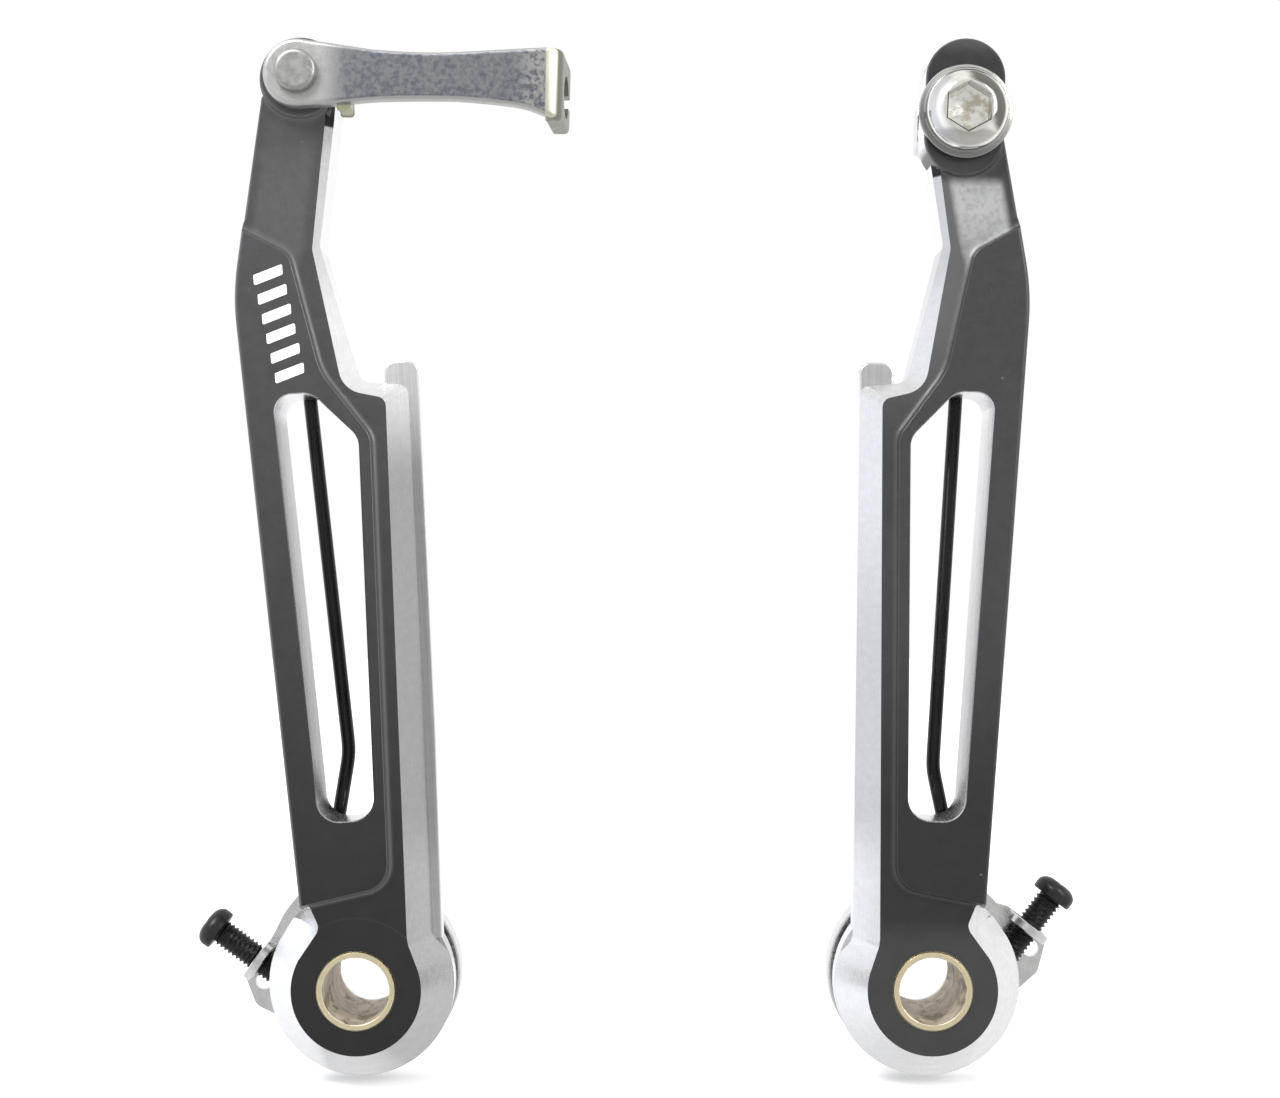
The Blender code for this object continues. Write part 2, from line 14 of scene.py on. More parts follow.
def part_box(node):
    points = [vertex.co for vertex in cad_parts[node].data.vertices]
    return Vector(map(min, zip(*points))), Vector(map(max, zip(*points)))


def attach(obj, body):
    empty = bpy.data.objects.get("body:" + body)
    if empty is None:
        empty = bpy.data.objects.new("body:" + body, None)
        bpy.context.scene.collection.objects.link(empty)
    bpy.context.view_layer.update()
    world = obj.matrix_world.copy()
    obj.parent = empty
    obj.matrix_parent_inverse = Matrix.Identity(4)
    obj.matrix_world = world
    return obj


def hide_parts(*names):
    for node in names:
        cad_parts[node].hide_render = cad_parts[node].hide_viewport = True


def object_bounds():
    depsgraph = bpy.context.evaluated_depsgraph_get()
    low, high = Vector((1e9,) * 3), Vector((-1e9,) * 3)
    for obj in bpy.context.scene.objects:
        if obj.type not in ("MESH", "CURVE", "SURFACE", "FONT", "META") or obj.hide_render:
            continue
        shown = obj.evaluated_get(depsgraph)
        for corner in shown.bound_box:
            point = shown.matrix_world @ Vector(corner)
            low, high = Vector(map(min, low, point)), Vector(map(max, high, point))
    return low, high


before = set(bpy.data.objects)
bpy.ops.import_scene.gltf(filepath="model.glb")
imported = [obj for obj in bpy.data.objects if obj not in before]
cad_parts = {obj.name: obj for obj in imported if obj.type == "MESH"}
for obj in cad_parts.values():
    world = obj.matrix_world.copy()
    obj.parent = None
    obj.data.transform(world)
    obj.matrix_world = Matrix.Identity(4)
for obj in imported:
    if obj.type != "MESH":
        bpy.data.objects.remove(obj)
CAD_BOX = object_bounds()

MM = 0.001
SIGN = {"left": 1.0, "right": -1.0}
SIDES = ("left", "right")
UP, ACROSS = Vector((0, 0, 1)), Vector((1, 0, 0))

# Depths
PANEL_Y, FACE_Y, ARM_BACK_Y, HUB_BACK_Y = -17.3, -16.5, -8.9, -7.6
BOLT_W = 105.3
BOSS_R, HUB_R, HUB_CHAMFER = 7.75, 11.35, 5.4
HEAD_AT = {"left": (1.05, 109.75), "right": (0.0, 109.4)}
HEAD_R = {"left": 5.0, "right": 4.6}
ARC_STEPS = 10

# The arm's outline: (u, w, corner radius) on the front face, the same on the rim behind the
# chamfer, the rim's depth behind the face, and whether the corner is on the raised panel.
SIDE_UP = [
    ((-5.50, 10.85, 0), (-5.95, 10.60, 0), 0.6, True),
    ((-8.28, 84.20, 30), (-8.78, 84.30, 30), 0.5, True),
    ((-6.72, 92.30, 0), (-7.15, 92.30, 0), 0.5, True),
    ((-6.50, 93.30, 0), (-6.95, 93.30, 0), 0.5, False),
]
SHOULDER = {
    "left": ((-3.45, 107.80, 0.8), (-3.85, 107.90, 0.6), 0.5, False),
    "right": ((-3.72, 106.50, 0.8), (-4.10, 106.90, 0.6), 0.5, False),
}
SIDE_DOWN = [
    ((3.75, 105.20, 1.2), (4.55, 104.60, 1.2), 1.2, False),
    ((1.00, 89.20, 2.0), (1.75, 89.70, 2.0), 1.3, False),
    ((3.50, 72.15, 3.2), (5.45, 73.15, 1.6), 2.8, False),
    ((8.55, 70.80, 1.2), (10.95, 72.60, 1.2), 3.6, False),
    ((6.55, 5.10, 2.4), (9.35, 5.30, 2.4), 4.4, False),
]
FLANK = [
    ((-3.75, 7.70, 1.6), (-7.95, 8.35, 3.0), HUB_CHAMFER, False),
    ((-4.75, 10.35, 0.9), (-6.35, 9.75, 0.3), 3.0, False),
]
HEAD_ARC = {"left": (200.0, -38.0, 40), "right": (208.0, -30.0, 40)}
HUB_ARC = (16.0, -212.0, 72)
WINDOW = [
    (-2.85, 20.5, 2.7), (3.80, 20.5, 2.7), (5.05, 66.3, 2.6), (-0.20, 71.95, 2.6),
    (-4.78, 71.95, 2.4),
]
RIDGE = [
    (-14.0, 96.0, 0), (-1.75, 88.8, 2.4), (1.05, 74.4, 8.0), (6.55, 66.4, 3.4),
    (4.95, 12.4, 3.2), (-14.0, 9.3, 0),
]
RIDGE_OUTSIDE = [(-14.0, -16.0), (20.0, -16.0), (20.0, 122.0), (-14.0, 122.0)]
# The panel's rounded edge and the hollow fillet at its foot: sideways offset, depth.
RIDGE_FILLET = [
    (-0.16, -17.32), (-0.12, -17.29), (-0.05, -17.24), (0.0, -17.14), (0.03, -17.02),
    (0.10, -16.88), (0.22, -16.76), (0.40, -16.65), (0.62, -16.57), (0.90, -16.52), (1.2, FACE_Y),
]
# The lug above the shelf; on the left arm it runs on down to the hub as a rib.
LUG = {
    "left": [(6.0, 5.0, 0), (10.3, 5.0, 0), (11.2, 30.0, 60), (12.25, 75.7, 1.4), (8.1, 75.7, 1.4),
             (7.6, 60.0, 0)],
    "right": [(7.0, 63.0, 0), (10.5, 63.0, 0), (11.0, 75.7, 1.4), (6.7, 75.7, 1.4)],
}
STOP_PIN = (1.95, 73.6)
BACK_EDGE = [(0.0, ARM_BACK_Y - 0.4), (-0.1, ARM_BACK_Y - 0.12), (-0.35, ARM_BACK_Y)]  # inset, depth


# ---------------------------------------------------------------- geometry helpers

def arc(radius, start, end, steps, centre=(0.0, 0.0)):
    angles = [math.radians(start + (end - start) * i / steps) for i in range(steps + 1)]
    return [(centre[0] + radius * math.cos(a), centre[1] + radius * math.sin(a)) for a in angles]


def circle(radius, steps=72, centre=(0.0, 0.0)):
    return arc(radius, 0, 360 - 360 / steps, steps - 1, centre)


def rounded(corners, closed=True):
    """The corners' outline as points, with an arc of its own radius at each."""
    points = []
    count = len(corners)
    for i, (x, y, radius) in enumerate(corners):
        here = Vector((x, y))
        if radius == 0 or (not closed and i in (0, count - 1)):
            points.append((x, y))
            continue
        before = Vector(corners[i - 1][:2]) - here
        after = Vector(corners[(i + 1) % count][:2]) - here
        half = before.angle(after) / 2
        reach = min(radius / math.tan(half), 0.48 * before.length, 0.48 * after.length)
        radius = reach * math.tan(half)
        middle = here + (before.normalized() + after.normalized()).normalized() * (
            radius / math.sin(half)
        )
        first = here + before.normalized() * reach - middle
        turn = first.angle_signed(here + after.normalized() * reach - middle)
        for step in range(ARC_STEPS + 1):
            spoke = first.copy()
            spoke.rotate(Matrix.Rotation(-turn * step / ARC_STEPS, 2))
            points.append(tuple(middle + spoke))
    return points


def offset(points, distance, closed=False):
    """A line moved sideways, to the left of its direction."""
    count = len(points)
    moved = []
    for i, point in enumerate(points):
        before = Vector(points[i - 1] if closed else points[max(i - 1, 0)])
        after = Vector(points[(i + 1) % count] if closed else points[min(i + 1, count - 1)])
        along = (after - before).normalized()
        moved.append((point[0] - along.y * distance, point[1] + along.x * distance))
    return moved


def loft(made, rings, bare=None):
    """A closed skin through rings of points, with a flat cap on each end."""
    rows = [[made.verts.new(p) for p in ring] for ring in rings]
    count = len(rows[0])
    for low, high in zip(rows, rows[1:]):
        for i in range(count):
            j = (i + 1) % count
            face = made.faces.new((low[i], low[j], high[j], high[i]))
            if bare and bare[i] and bare[j]:
                face.material_index = 1
    return made.faces.new(rows[0]), made.faces.new(reversed(rows[-1]))


def prism(made, outline, depths):
    """The (u, w) outline extruded through the depths."""
    loft(made, [[(u, y, w) for u, w in outline] for y in depths])


def stack(made, outline, levels, inwards=1.0):
    """The (u, w) outline extruded through (inset, depth) levels."""
    loft(made, [[(u, y, w) for u, w in offset(outline, d * inwards, True)] for d, y in levels])


def lathe(made, profile, steps=72, centre=(0.0, 0.0)):
    """A closed (radius, y) profile turned about the Y direction, as a ring with a bore."""
    rows = []
    for i in range(steps):
        a = 2 * math.pi * i / steps
        rows.append([
            made.verts.new((centre[0] + r * math.cos(a), y, centre[1] + r * math.sin(a)))
            for r, y in profile
        ])
    count = len(profile)
    for i in range(steps):
        here, after = rows[i], rows[(i + 1) % steps]
        for j in range(count):
            k = (j + 1) % count
            made.faces.new((here[j], here[k], after[k], after[j]))


def turned(made, profile, steps=72, centre=(0.0, 0.0)):
    """A solid (radius, y) profile turned about the Y direction, closed at both ends."""
    loft(made, [[(u, y, w) for u, w in circle(r, steps, centre)] for r, y in profile])


def tube(made, path, radii, steps=20):
    """A round wire along the path, with a section that doesn't twist."""
    points = [Vector(p) for p in path]
    normal = Vector((0, 1, 0))
    rings = []
    for i, point in enumerate(points):
        along = (points[min(i + 1, len(points) - 1)] - points[max(i - 1, 0)]).normalized()
        normal = (normal - along * normal.dot(along)).normalized()
        side = along.cross(normal)
        turn = [2 * math.pi * k / steps for k in range(steps)]
        rings.append([
            tuple(point + radii[i] * (normal * math.cos(a) + side * math.sin(a))) for a in turn
        ])
    loft(made, rings)


def mesh_from(name, build, side="left"):
    """A mesh in millimetres from a function that fills a bmesh, mirrored for the right."""
    made = bmesh.new()
    build(made)
    bmesh.ops.scale(made, vec=(SIGN[side], 1, 1), verts=made.verts)
    bmesh.ops.recalc_face_normals(made, faces=made.faces)
    bmesh.ops.triangulate(made, faces=made.faces)
    mesh = bpy.data.meshes.new(name)
    made.to_mesh(mesh)
    made.free()
    mesh.materials.append(None)
    mesh.materials.append(None)
    return mesh


def settle(obj):
    """The object's modifiers applied, so that its mesh is final."""
    graph = bpy.context.evaluated_depsgraph_get()
    mesh = bpy.data.meshes.new_from_object(obj.evaluated_get(graph))
    obj.modifiers.clear()
    obj.data = mesh
    return mesh


def joined(name, base, steps=(), helper_only=False):
    """An object of base with each (operation, mesh) applied to it in turn, brought to metres.
    A helper stays in millimetres and in triangles, ready for another Boolean."""
    obj = bpy.data.objects.new(name, base)
    bpy.context.scene.collection.objects.link(obj)
    helpers = []
    for operation, mesh in steps:
        helper = bpy.data.objects.new("helper", mesh)
        bpy.context.scene.collection.objects.link(helper)
        modifier = obj.modifiers.new("join", "BOOLEAN")
        modifier.operation, modifier.solver, modifier.object = operation, "EXACT", helper
        helpers.append(helper)
    if steps:
        bpy.context.view_layer.update()
        settle(obj)
    for helper in helpers:
        bpy.data.objects.remove(helper, do_unlink=True)
    made = bmesh.new()
    made.from_mesh(obj.data)
    if helper_only:
        bmesh.ops.triangulate(made, faces=made.faces)
    else:
        bmesh.ops.remove_doubles(made, verts=made.verts, dist=0.0005)
        bmesh.ops.dissolve_limit(
            made, angle_limit=math.radians(0.4), verts=made.verts, edges=made.edges,
            delimit={"MATERIAL"},
        )
        bmesh.ops.scale(made, vec=(MM, MM, MM), verts=made.verts)
    made.to_mesh(obj.data)
    made.free()
    return obj


def shade(obj, degrees=32.0, bevel=0.0, weighted=True):
    """Smooth shading broken at sharp edges; a bevel in millimetres first, if one is asked for."""
    if bevel:
        modifier = obj.modifiers.new("edge", "BEVEL")
        modifier.width, modifier.segments = bevel * MM, 3
        modifier.limit_method, modifier.angle_limit = "ANGLE", math.radians(degrees)
        settle(obj)
    mesh = obj.data
    mesh.shade_smooth()
    mesh.set_sharp_from_angle(angle=math.radians(degrees))
    if weighted:
        modifier = obj.modifiers.new("normals", "WEIGHTED_NORMAL")
        modifier.keep_sharp, modifier.weight = True, 80


# ---------------------------------------------------------------- frames, read from the CAD

def middle(node):
    low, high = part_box(node)
    return (low + high) / 2


BOSS_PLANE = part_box("left_spring_seat")[1].y
SEAT_BACK = min(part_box(f"{side}_dust_washer")[1].y for side in SIDES) + 6.95 * MM
PIVOT, LEAN = {}, {}
for each_side, head in (("left", "link_rivet"), ("right", "anchor_washer")):
    hub, top = middle(f"{each_side}_pivot_bush"), middle(head)
    PIVOT[each_side] = Vector((hub.x, SEAT_BACK, hub.z))
    inwards = math.atan2(*HEAD_AT["left"]) if each_side == "left" else 0.0
    LEAN[each_side] = math.atan2(SIGN[each_side] * (hub.x - top.x), top.z - hub.z) + inwards


def frame_of(side, turn=None, at=(0.0, 0.0, 0.0), then=0.0):
    """The matrix of a plane at the side's pivot: the arm's own unless turned otherwise, with a
    further place and turn inside it."""
    angle = -SIGN[side] * LEAN[side] if turn is None else turn
    base = Matrix.Translation(PIVOT[side]) @ Matrix.Rotation(angle, 4, "Y")
    return base @ Matrix.Translation(Vector(at) * MM) @ Matrix.Rotation(then, 4, "Y")


def place(obj, matrix, body, *nodes, slot=None, material=None):
    obj.matrix_world = matrix
    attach(obj, body)
    if nodes:
        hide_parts(*nodes)
    if material:
        slots = obj.data.materials
        for i, each in enumerate(material if isinstance(material, (list, tuple)) else [material]):
            if i < len(slots):
                slots[i] = each
            else:
                slots.append(each)
    return obj


# ---------------------------------------------------------------- materials

class Look:
    """A Principled material, with short calls for the nodes that feed it, in millimetres."""

    def __init__(self, name, **values):
        self.material = bpy.data.materials.new(name)
        self.material.use_nodes = True
        self.tree = self.material.node_tree
        self.shader = self.tree.nodes["Principled BSDF"]
        coords = self.node("ShaderNodeTexCoord").outputs["Object"]
        self.at = self.scaled(coords, 1 / MM)
        self.x, self.y, self.z = self.node("ShaderNodeSeparateXYZ", self.at).outputs
        for key, value in values.items():
            self.set(key, value)

    def node(self, kind, *inputs, **options):
        made = self.tree.nodes.new(kind)
        for key, value in options.items():
            if key in made.inputs:
                self.join(made.inputs[key], value)
            else:
                setattr(made, key, value)
        for i, value in enumerate(inputs):
            self.join(made.inputs[i], value)
        return made

    def join(self, socket, value):
        if isinstance(value, bpy.types.NodeSocket):
            self.tree.links.new(value, socket)
        elif isinstance(value, tuple) and len(value) == 3 and socket.type == "RGBA":
            socket.default_value = (*value, 1.0)
        else:
            socket.default_value = value

    def set(self, key, value):
        self.join(self.shader.inputs[key.replace("_", " ")], value)

    def math(self, operation, a, b=0.0, c=0.0):
        return self.node("ShaderNodeMath", a, b, c, operation=operation).outputs[0]

    def times(self, *factors):
        """The product of the factors, multiplied from the left."""
        product = factors[0]
        for factor in factors[1:]:
            product = self.math("MULTIPLY", product, factor)
        return product

    def less(self, value):
        """What the value leaves of 1."""
        return self.math("SUBTRACT", 1.0, value)

    def facing(self):
        """The three parts of the surface's direction."""
        normal = self.node("ShaderNodeNewGeometry").outputs["Normal"]
        return self.node("ShaderNodeSeparateXYZ", normal).outputs

    def ramp(self, value, low, high, to_low=0.0, to_high=1.0):
        """value's way from low to high as a smooth step."""
        made = self.node("ShaderNodeMapRange", value, low, high, to_low, to_high)
        made.interpolation_type = "SMOOTHSTEP"
        return made.outputs[0]

    def noise(self, per_mm, detail=2.0, rough=0.5, stretch=(1, 1, 1), at=None):
        where = self.node("ShaderNodeVectorMath", at or self.at, stretch, operation="MULTIPLY")
        return self.node("ShaderNodeTexNoise", Vector=where.outputs[0], Scale=per_mm, Detail=detail,
                         Roughness=rough).outputs[0]

    def mix(self, share, a, b, mode="MIX"):
        made = self.node("ShaderNodeMix", data_type="RGBA", blend_type=mode)
        self.join(made.inputs["Factor"], share)
        for socket, value in ((made.inputs[6], a), (made.inputs[7], b)):
            self.join(socket, value)
        return made.outputs[2]

    def scaled(self, colour, factor):
        """The colour or place times a number."""
        return self.node("ShaderNodeVectorMath", colour, operation="SCALE", Scale=factor).outputs[0]

    def radius(self):
        """Distance from the piece's own Y axis."""
        return self.math("SQRT", self.math("ADD", self.times(self.x, self.x),
                                           self.times(self.z, self.z)))

    def bump(self, height, depth_mm, strength=1.0):
        made = self.node("ShaderNodeBump", Strength=strength, Distance=depth_mm * MM, Height=height)
        self.set("Normal", made.outputs[0])

    def scratches(self, per_mm, angle, threshold=0.62):
        """Sparse fine lines along one direction, as a mask."""
        tilted = self.node("ShaderNodeVectorRotate", self.at, Angle=angle, rotation_type="Y_AXIS")
        lines = self.noise(per_mm, 3.0, 0.6, (1.0, 1.0, 0.06), tilted.outputs[0])
        return self.ramp(lines, threshold, threshold + 0.05)


def anodised(side):
    """Dark satin anodising, with a painted reflection on the neck's lower face, more on the right arm.
    """
    look = Look(f"anodised_{side}", Metallic=0.25)
    u = look.times(look.x, SIGN[side])
    left = side == "left"
    if left:
        along = look.ramp(look.z, -10.0, 100.0, 0.20, 1.0)
    else:
        along = look.math("MAXIMUM", look.ramp(look.z, 48.0, 20.0, 1.0, 0.45),
                          look.ramp(look.z, 12.0, 5.0, 0.0, 0.95))
        along = look.times(along, look.ramp(look.z, 97.0, 101.0, 1.0, 0.6))
    cloud = look.noise(0.35, 3.0, 0.6)
    grain = look.noise(5.0, 2.0, 0.7)
    tone = look.times(along, look.ramp(cloud, 0.25, 0.75, 0.92, 1.08),
                      look.ramp(grain, 0.3, 0.7, 0.93, 1.07))
    dark = look.scaled((0.050, 0.050, 0.051) if left else (0.034, 0.034, 0.0345), tone)
    # Painted reflection on the neck: between its two edges, above the panel's edge, below the head.
    above = look.math("SUBTRACT", look.z, 92.3)
    slanted = look.math("SUBTRACT", u, look.times(above, 0.2))
    inside = look.times(look.ramp(slanted, -6.4, -5.3), look.ramp(slanted, 1.1, -0.3))
    top, over = (107.0, 96.0) if left else (98.2, 96.6)
    height = look.times(look.ramp(look.z, 79.0, 90.0 if left else 95.0),
                        look.ramp(look.z, top, over))
    low_face = look.ramp(look.y, -17.1, -16.55)
    mottle = look.noise(1.6, 4.0, 0.62)
    sheen_mottle = (0.25, 0.7, 0.75) if left else (0.22, 0.62, 0.70)
    neck = look.times(inside, height, low_face, look.ramp(mottle, *sheen_mottle, 1.0))
    if left:
        colour = look.mix(neck, dark, (0.072, 0.072, 0.073))
    else:
        # Painted reflection fading out down the right arm below the neck.
        lower_neck_sheen = look.times(look.ramp(look.z, 64.0, 82.0, 0.0, 0.17),
                          look.ramp(look.z, 98.2, 96.6), look.ramp(slanted, -6.4, -5.3), low_face)
        colour = look.mix(look.math("MAXIMUM", neck, lower_neck_sheen), dark, (0.32, 0.32, 0.32))
        # Painted highlight, lighter towards the top of the right arm's head.
        colour = look.mix(look.ramp(look.z, 111.8, 114.0, 0.0, 0.4), colour, (0.10, 0.10, 0.10))
    # Dust: sparse pale specks, more of them near the hub.
    cells = look.node("ShaderNodeTexVoronoi", Vector=look.at, Scale=0.33)
    speck = look.times(look.ramp(cells.outputs["Distance"], 0.075, 0.03),
                      look.ramp(look.noise(0.11, 1.0), 0.45, 0.65))
    near_hub = look.ramp(look.z, 45.0, 12.0, 0.25, 0.8)
    colour = look.mix(look.times(speck, near_hub), colour, (0.24, 0.24, 0.23))
    # Painted highlight on slanted faces, such as the fillet beside the panel.
    at_head, below = (0.15, 0.38) if left else (0.10, 0.10)
    slope_highlight = look.times(look.ramp(look.facing()[1], -0.995, -0.86),
                          look.ramp(look.z, 99.0, 95.0, at_head, below))
    colour = look.mix(slope_highlight, colour, (0.15, 0.15, 0.148))
    look.set("Base_Color", colour)
    look.set("Roughness", look.ramp(look.noise(0.8, 3.0, 0.6), 0.3, 0.7, 0.30, 0.42))
    look.bump(grain, 0.004, 0.5)
    return look.material


def machined(side):
    """Bare milled aluminium: fine tool lines; painted shade makes it darker down the inner flank than
    at neck and hub.
    """
    look = Look(f"machined_{side}", Metallic=1.0)
    lines = look.noise(4.0, 3.0, 0.6, (1.0, 1.0, 0.02))
    cross = look.noise(0.8, 2.0, 0.5, (0.4, 1.0, 1.6))
    tone = look.times(look.ramp(lines, 0.3, 0.7, 0.965, 1.02),
                     look.ramp(cross, 0.35, 0.7, 0.97, 1.02))
    # Painted light and shade: set by height, then lighter on the outer side and on walls facing
    # sideways, up or down.
    low, high, by_hub = (0.49, 1.10, 0.14) if side == "left" else (0.64, 0.82, 0.30)
    low_z, high_z = (60.0, 76.0) if side == "left" else (38.0, 62.0)
    u = look.times(look.x, SIGN[side])
    flank = look.math("ADD", look.ramp(look.z, low_z, high_z, low, high),
                      look.ramp(look.z, 22.0, 12.0, 0.0, by_hub))
    flank = look.times(flank, look.ramp(look.z, 80.0, 90.0, 1.0, 0.78))
    normal = look.node("ShaderNodeNewGeometry").outputs["Normal"]
    normal = look.node("ShaderNodeVectorMath", normal, operation="ABSOLUTE").outputs[0]
    normal = look.node("ShaderNodeSeparateXYZ", normal)
    for painted_light in (look.ramp(u, -1.0, -6.0), look.ramp(normal.outputs[0], 0.93, 0.99),
                     look.ramp(normal.outputs[2], 0.45, 0.85, 0.0, 0.86)):
        flank = look.math("MAXIMUM", flank, painted_light)
    # Painted shade on the window's walls, more so lower down.
    upper, lower = (0.50, 0.74) if side == "left" else (0.15, 0.42)
    in_shade = look.times(look.ramp(look.z, 21.0, 25.0), look.ramp(look.z, 71.0, 68.0),
                          look.ramp(u, 5.7, 5.3), look.ramp(look.z, 70.0, 30.0, upper, lower))
    flank = look.times(flank, look.less(in_shade))
    # Near the head the chamfer is drawn dark, and the side wall isn't.
    top = 103.7 if side == "left" else 97.7
    dark_near_head = look.times(look.ramp(look.z, top, top + 0.3),
                             look.ramp(normal.outputs[0], 0.97, 0.90))
    flank = look.times(flank, look.less(look.times(dark_near_head, 0.955)))
    look.set("Base_Color", look.scaled((0.865, 0.865, 0.87), look.times(tone, flank)))
    look.set("Roughness", look.ramp(lines, 0.3, 0.7, 0.20, 0.30))
    lines = look.times(lines, look.ramp(look.z, 22.0, 27.0, 0.12, 1.0))
    look.bump(look.math("ADD", lines, look.times(cross, 0.6)), 0.003, 0.3)
    return look.material


def bronze():
    """A turned front ring and a bore showing wear, with brown and grey patches."""
    look = Look("bronze", Metallic=1.0)
    rings = look.noise(1.2, 3.0, 0.6)
    ring = look.mix(look.ramp(rings, 0.35, 0.68), (0.95, 0.83, 0.56), (0.80, 0.70, 0.48))
    patches = look.noise(0.42, 4.0, 0.65)
    bore = look.mix(look.ramp(patches, 0.42, 0.60), (0.42, 0.36, 0.27), (0.58, 0.50, 0.38))
    brown = look.noise(0.3, 3.0, 0.7, (1, 0.6, 1.4))
    bore = look.mix(look.ramp(brown, 0.52, 0.66), bore, (0.20, 0.15, 0.085))
    in_bore = look.ramp(look.radius(), 4.12, 4.04)
    look.set("Base_Color", look.mix(in_bore, ring, bore))
    look.set("Metallic", look.less(look.times(in_bore, 0.45)))
    look.set("Roughness", look.math("ADD", look.ramp(rings, 0.3, 0.7, 0.22, 0.36),
                                    look.times(in_bore, 0.22)))
    look.bump(look.noise(3.0, 4.0, 0.7), 0.003, 0.3)
    return look.material


def zinc():
    look = Look("zinc", Metallic=1.0)
    cloud = look.noise(0.7, 4.0, 0.6)
    look.set("Base_Color", look.mix(look.ramp(cloud, 0.3, 0.7), (0.66, 0.655, 0.65),
                                    (0.76, 0.76, 0.755)))
    look.set("Roughness", look.ramp(look.noise(1.8, 3.0, 0.6), 0.3, 0.7, 0.20, 0.34))
    look.bump(look.noise(1.1, 3.0, 0.6), 0.008, 0.3)
    return look.material


def black(name, colour, roughness, metallic=0.4, grain_mm=3.0):
    look = Look(name, Metallic=metallic)
    cloud = look.noise(grain_mm * 0.3, 3.0, 0.6)
    look.set("Base_Color", look.scaled(colour, look.ramp(cloud, 0.3, 0.7, 0.75, 1.35)))
    look.set("Roughness", look.ramp(look.noise(grain_mm, 3.0, 0.6), 0.3, 0.7, roughness - 0.08,
                                    roughness + 0.10))
    look.bump(look.noise(grain_mm, 3.0, 0.7), 0.01, 0.4)
    return look.material


def plated():
    """Blue-grey mottled plate with scratches, paler round the eye and at the bend."""
    look = Look("plated", Metallic=0.85)
    blotch = look.noise(1.5, 5.0, 0.7)
    fine = look.noise(5.0, 3.0, 0.7)
    colour = look.mix(look.ramp(blotch, 0.36, 0.62), (0.115, 0.120, 0.140), (0.245, 0.250, 0.262))
    colour = look.mix(look.ramp(fine, 0.58, 0.8, 0.0, 0.6), colour, (0.48, 0.48, 0.46))
    eye = look.ramp(look.x, 6.6, 2.5, 0.0, 0.88)
    grey = look.scaled((0.47, 0.468, 0.445), look.ramp(fine, 0.3, 0.7, 0.88, 1.12))
    colour = look.mix(eye, colour, grey)
    scuffed = look.times(look.ramp(look.x, 25.5, 28.5), look.ramp(blotch, 0.44, 0.58))
    colour = look.mix(look.times(scuffed, 0.6), colour, (0.48, 0.47, 0.43))
    marks = look.math("MAXIMUM", look.scratches(0.9, 0.5, 0.70), look.scratches(0.7, -0.9, 0.72))
    colour = look.mix(look.times(marks, 0.5), colour, (0.70, 0.69, 0.65))
    # Painted highlight where the edges are rounded.
    colour = look.mix(look.ramp(look.facing()[1], -0.97, -0.85), colour, (0.40, 0.40, 0.385))
    on_tab = look.times(look.ramp(look.z, -3.55, -3.75), look.ramp(look.x, 7.0, 6.8),
                        look.ramp(look.x, 4.6, 4.8))
    colour = look.mix(on_tab, colour, (0.33, 0.315, 0.22))
    # Painted highlight on the eye's rounded edge.
    ring = look.times(look.ramp(look.radius(), 3.1, 3.6),
                      look.ramp(look.x, 4.5, 2.0, 0.0, 0.30))
    colour = look.mix(ring, colour, (0.55, 0.55, 0.53))
    bend = look.ramp(look.x, 29.5, 29.7)
    strip = look.times(bend, look.ramp(look.y, -19.35, -19.1))
    pale = look.scaled((0.78, 0.76, 0.62), look.ramp(look.z, -3.5, 2.5, 0.72, 1.0))
    colour = look.mix(bend, colour, pale)
    colour = look.mix(strip, colour, (0.22, 0.215, 0.18))
    look.set("Base_Color", colour)
    look.set("Roughness", look.ramp(blotch, 0.3, 0.7, 0.46, 0.30))
    look.bump(look.math("ADD", blotch, look.times(fine, 0.4)), 0.02, 0.35)
    return look.material


def satin():
    look = Look("satin_steel", Metallic=0.9)
    cloud = look.noise(0.9, 4.0, 0.65)
    colour = look.mix(look.ramp(cloud, 0.3, 0.7), (0.30, 0.295, 0.285), (0.37, 0.365, 0.35))
    marks = look.times(look.scratches(1.4, 0.8, 0.68), 0.4)
    colour = look.mix(marks, colour, (0.7, 0.7, 0.68))
    look.set("Base_Color", colour)
    look.set("Roughness", look.ramp(cloud, 0.3, 0.7, 0.34, 0.44))
    look.bump(look.noise(2.5, 3.0, 0.6), 0.01, 0.4)
    return look.material


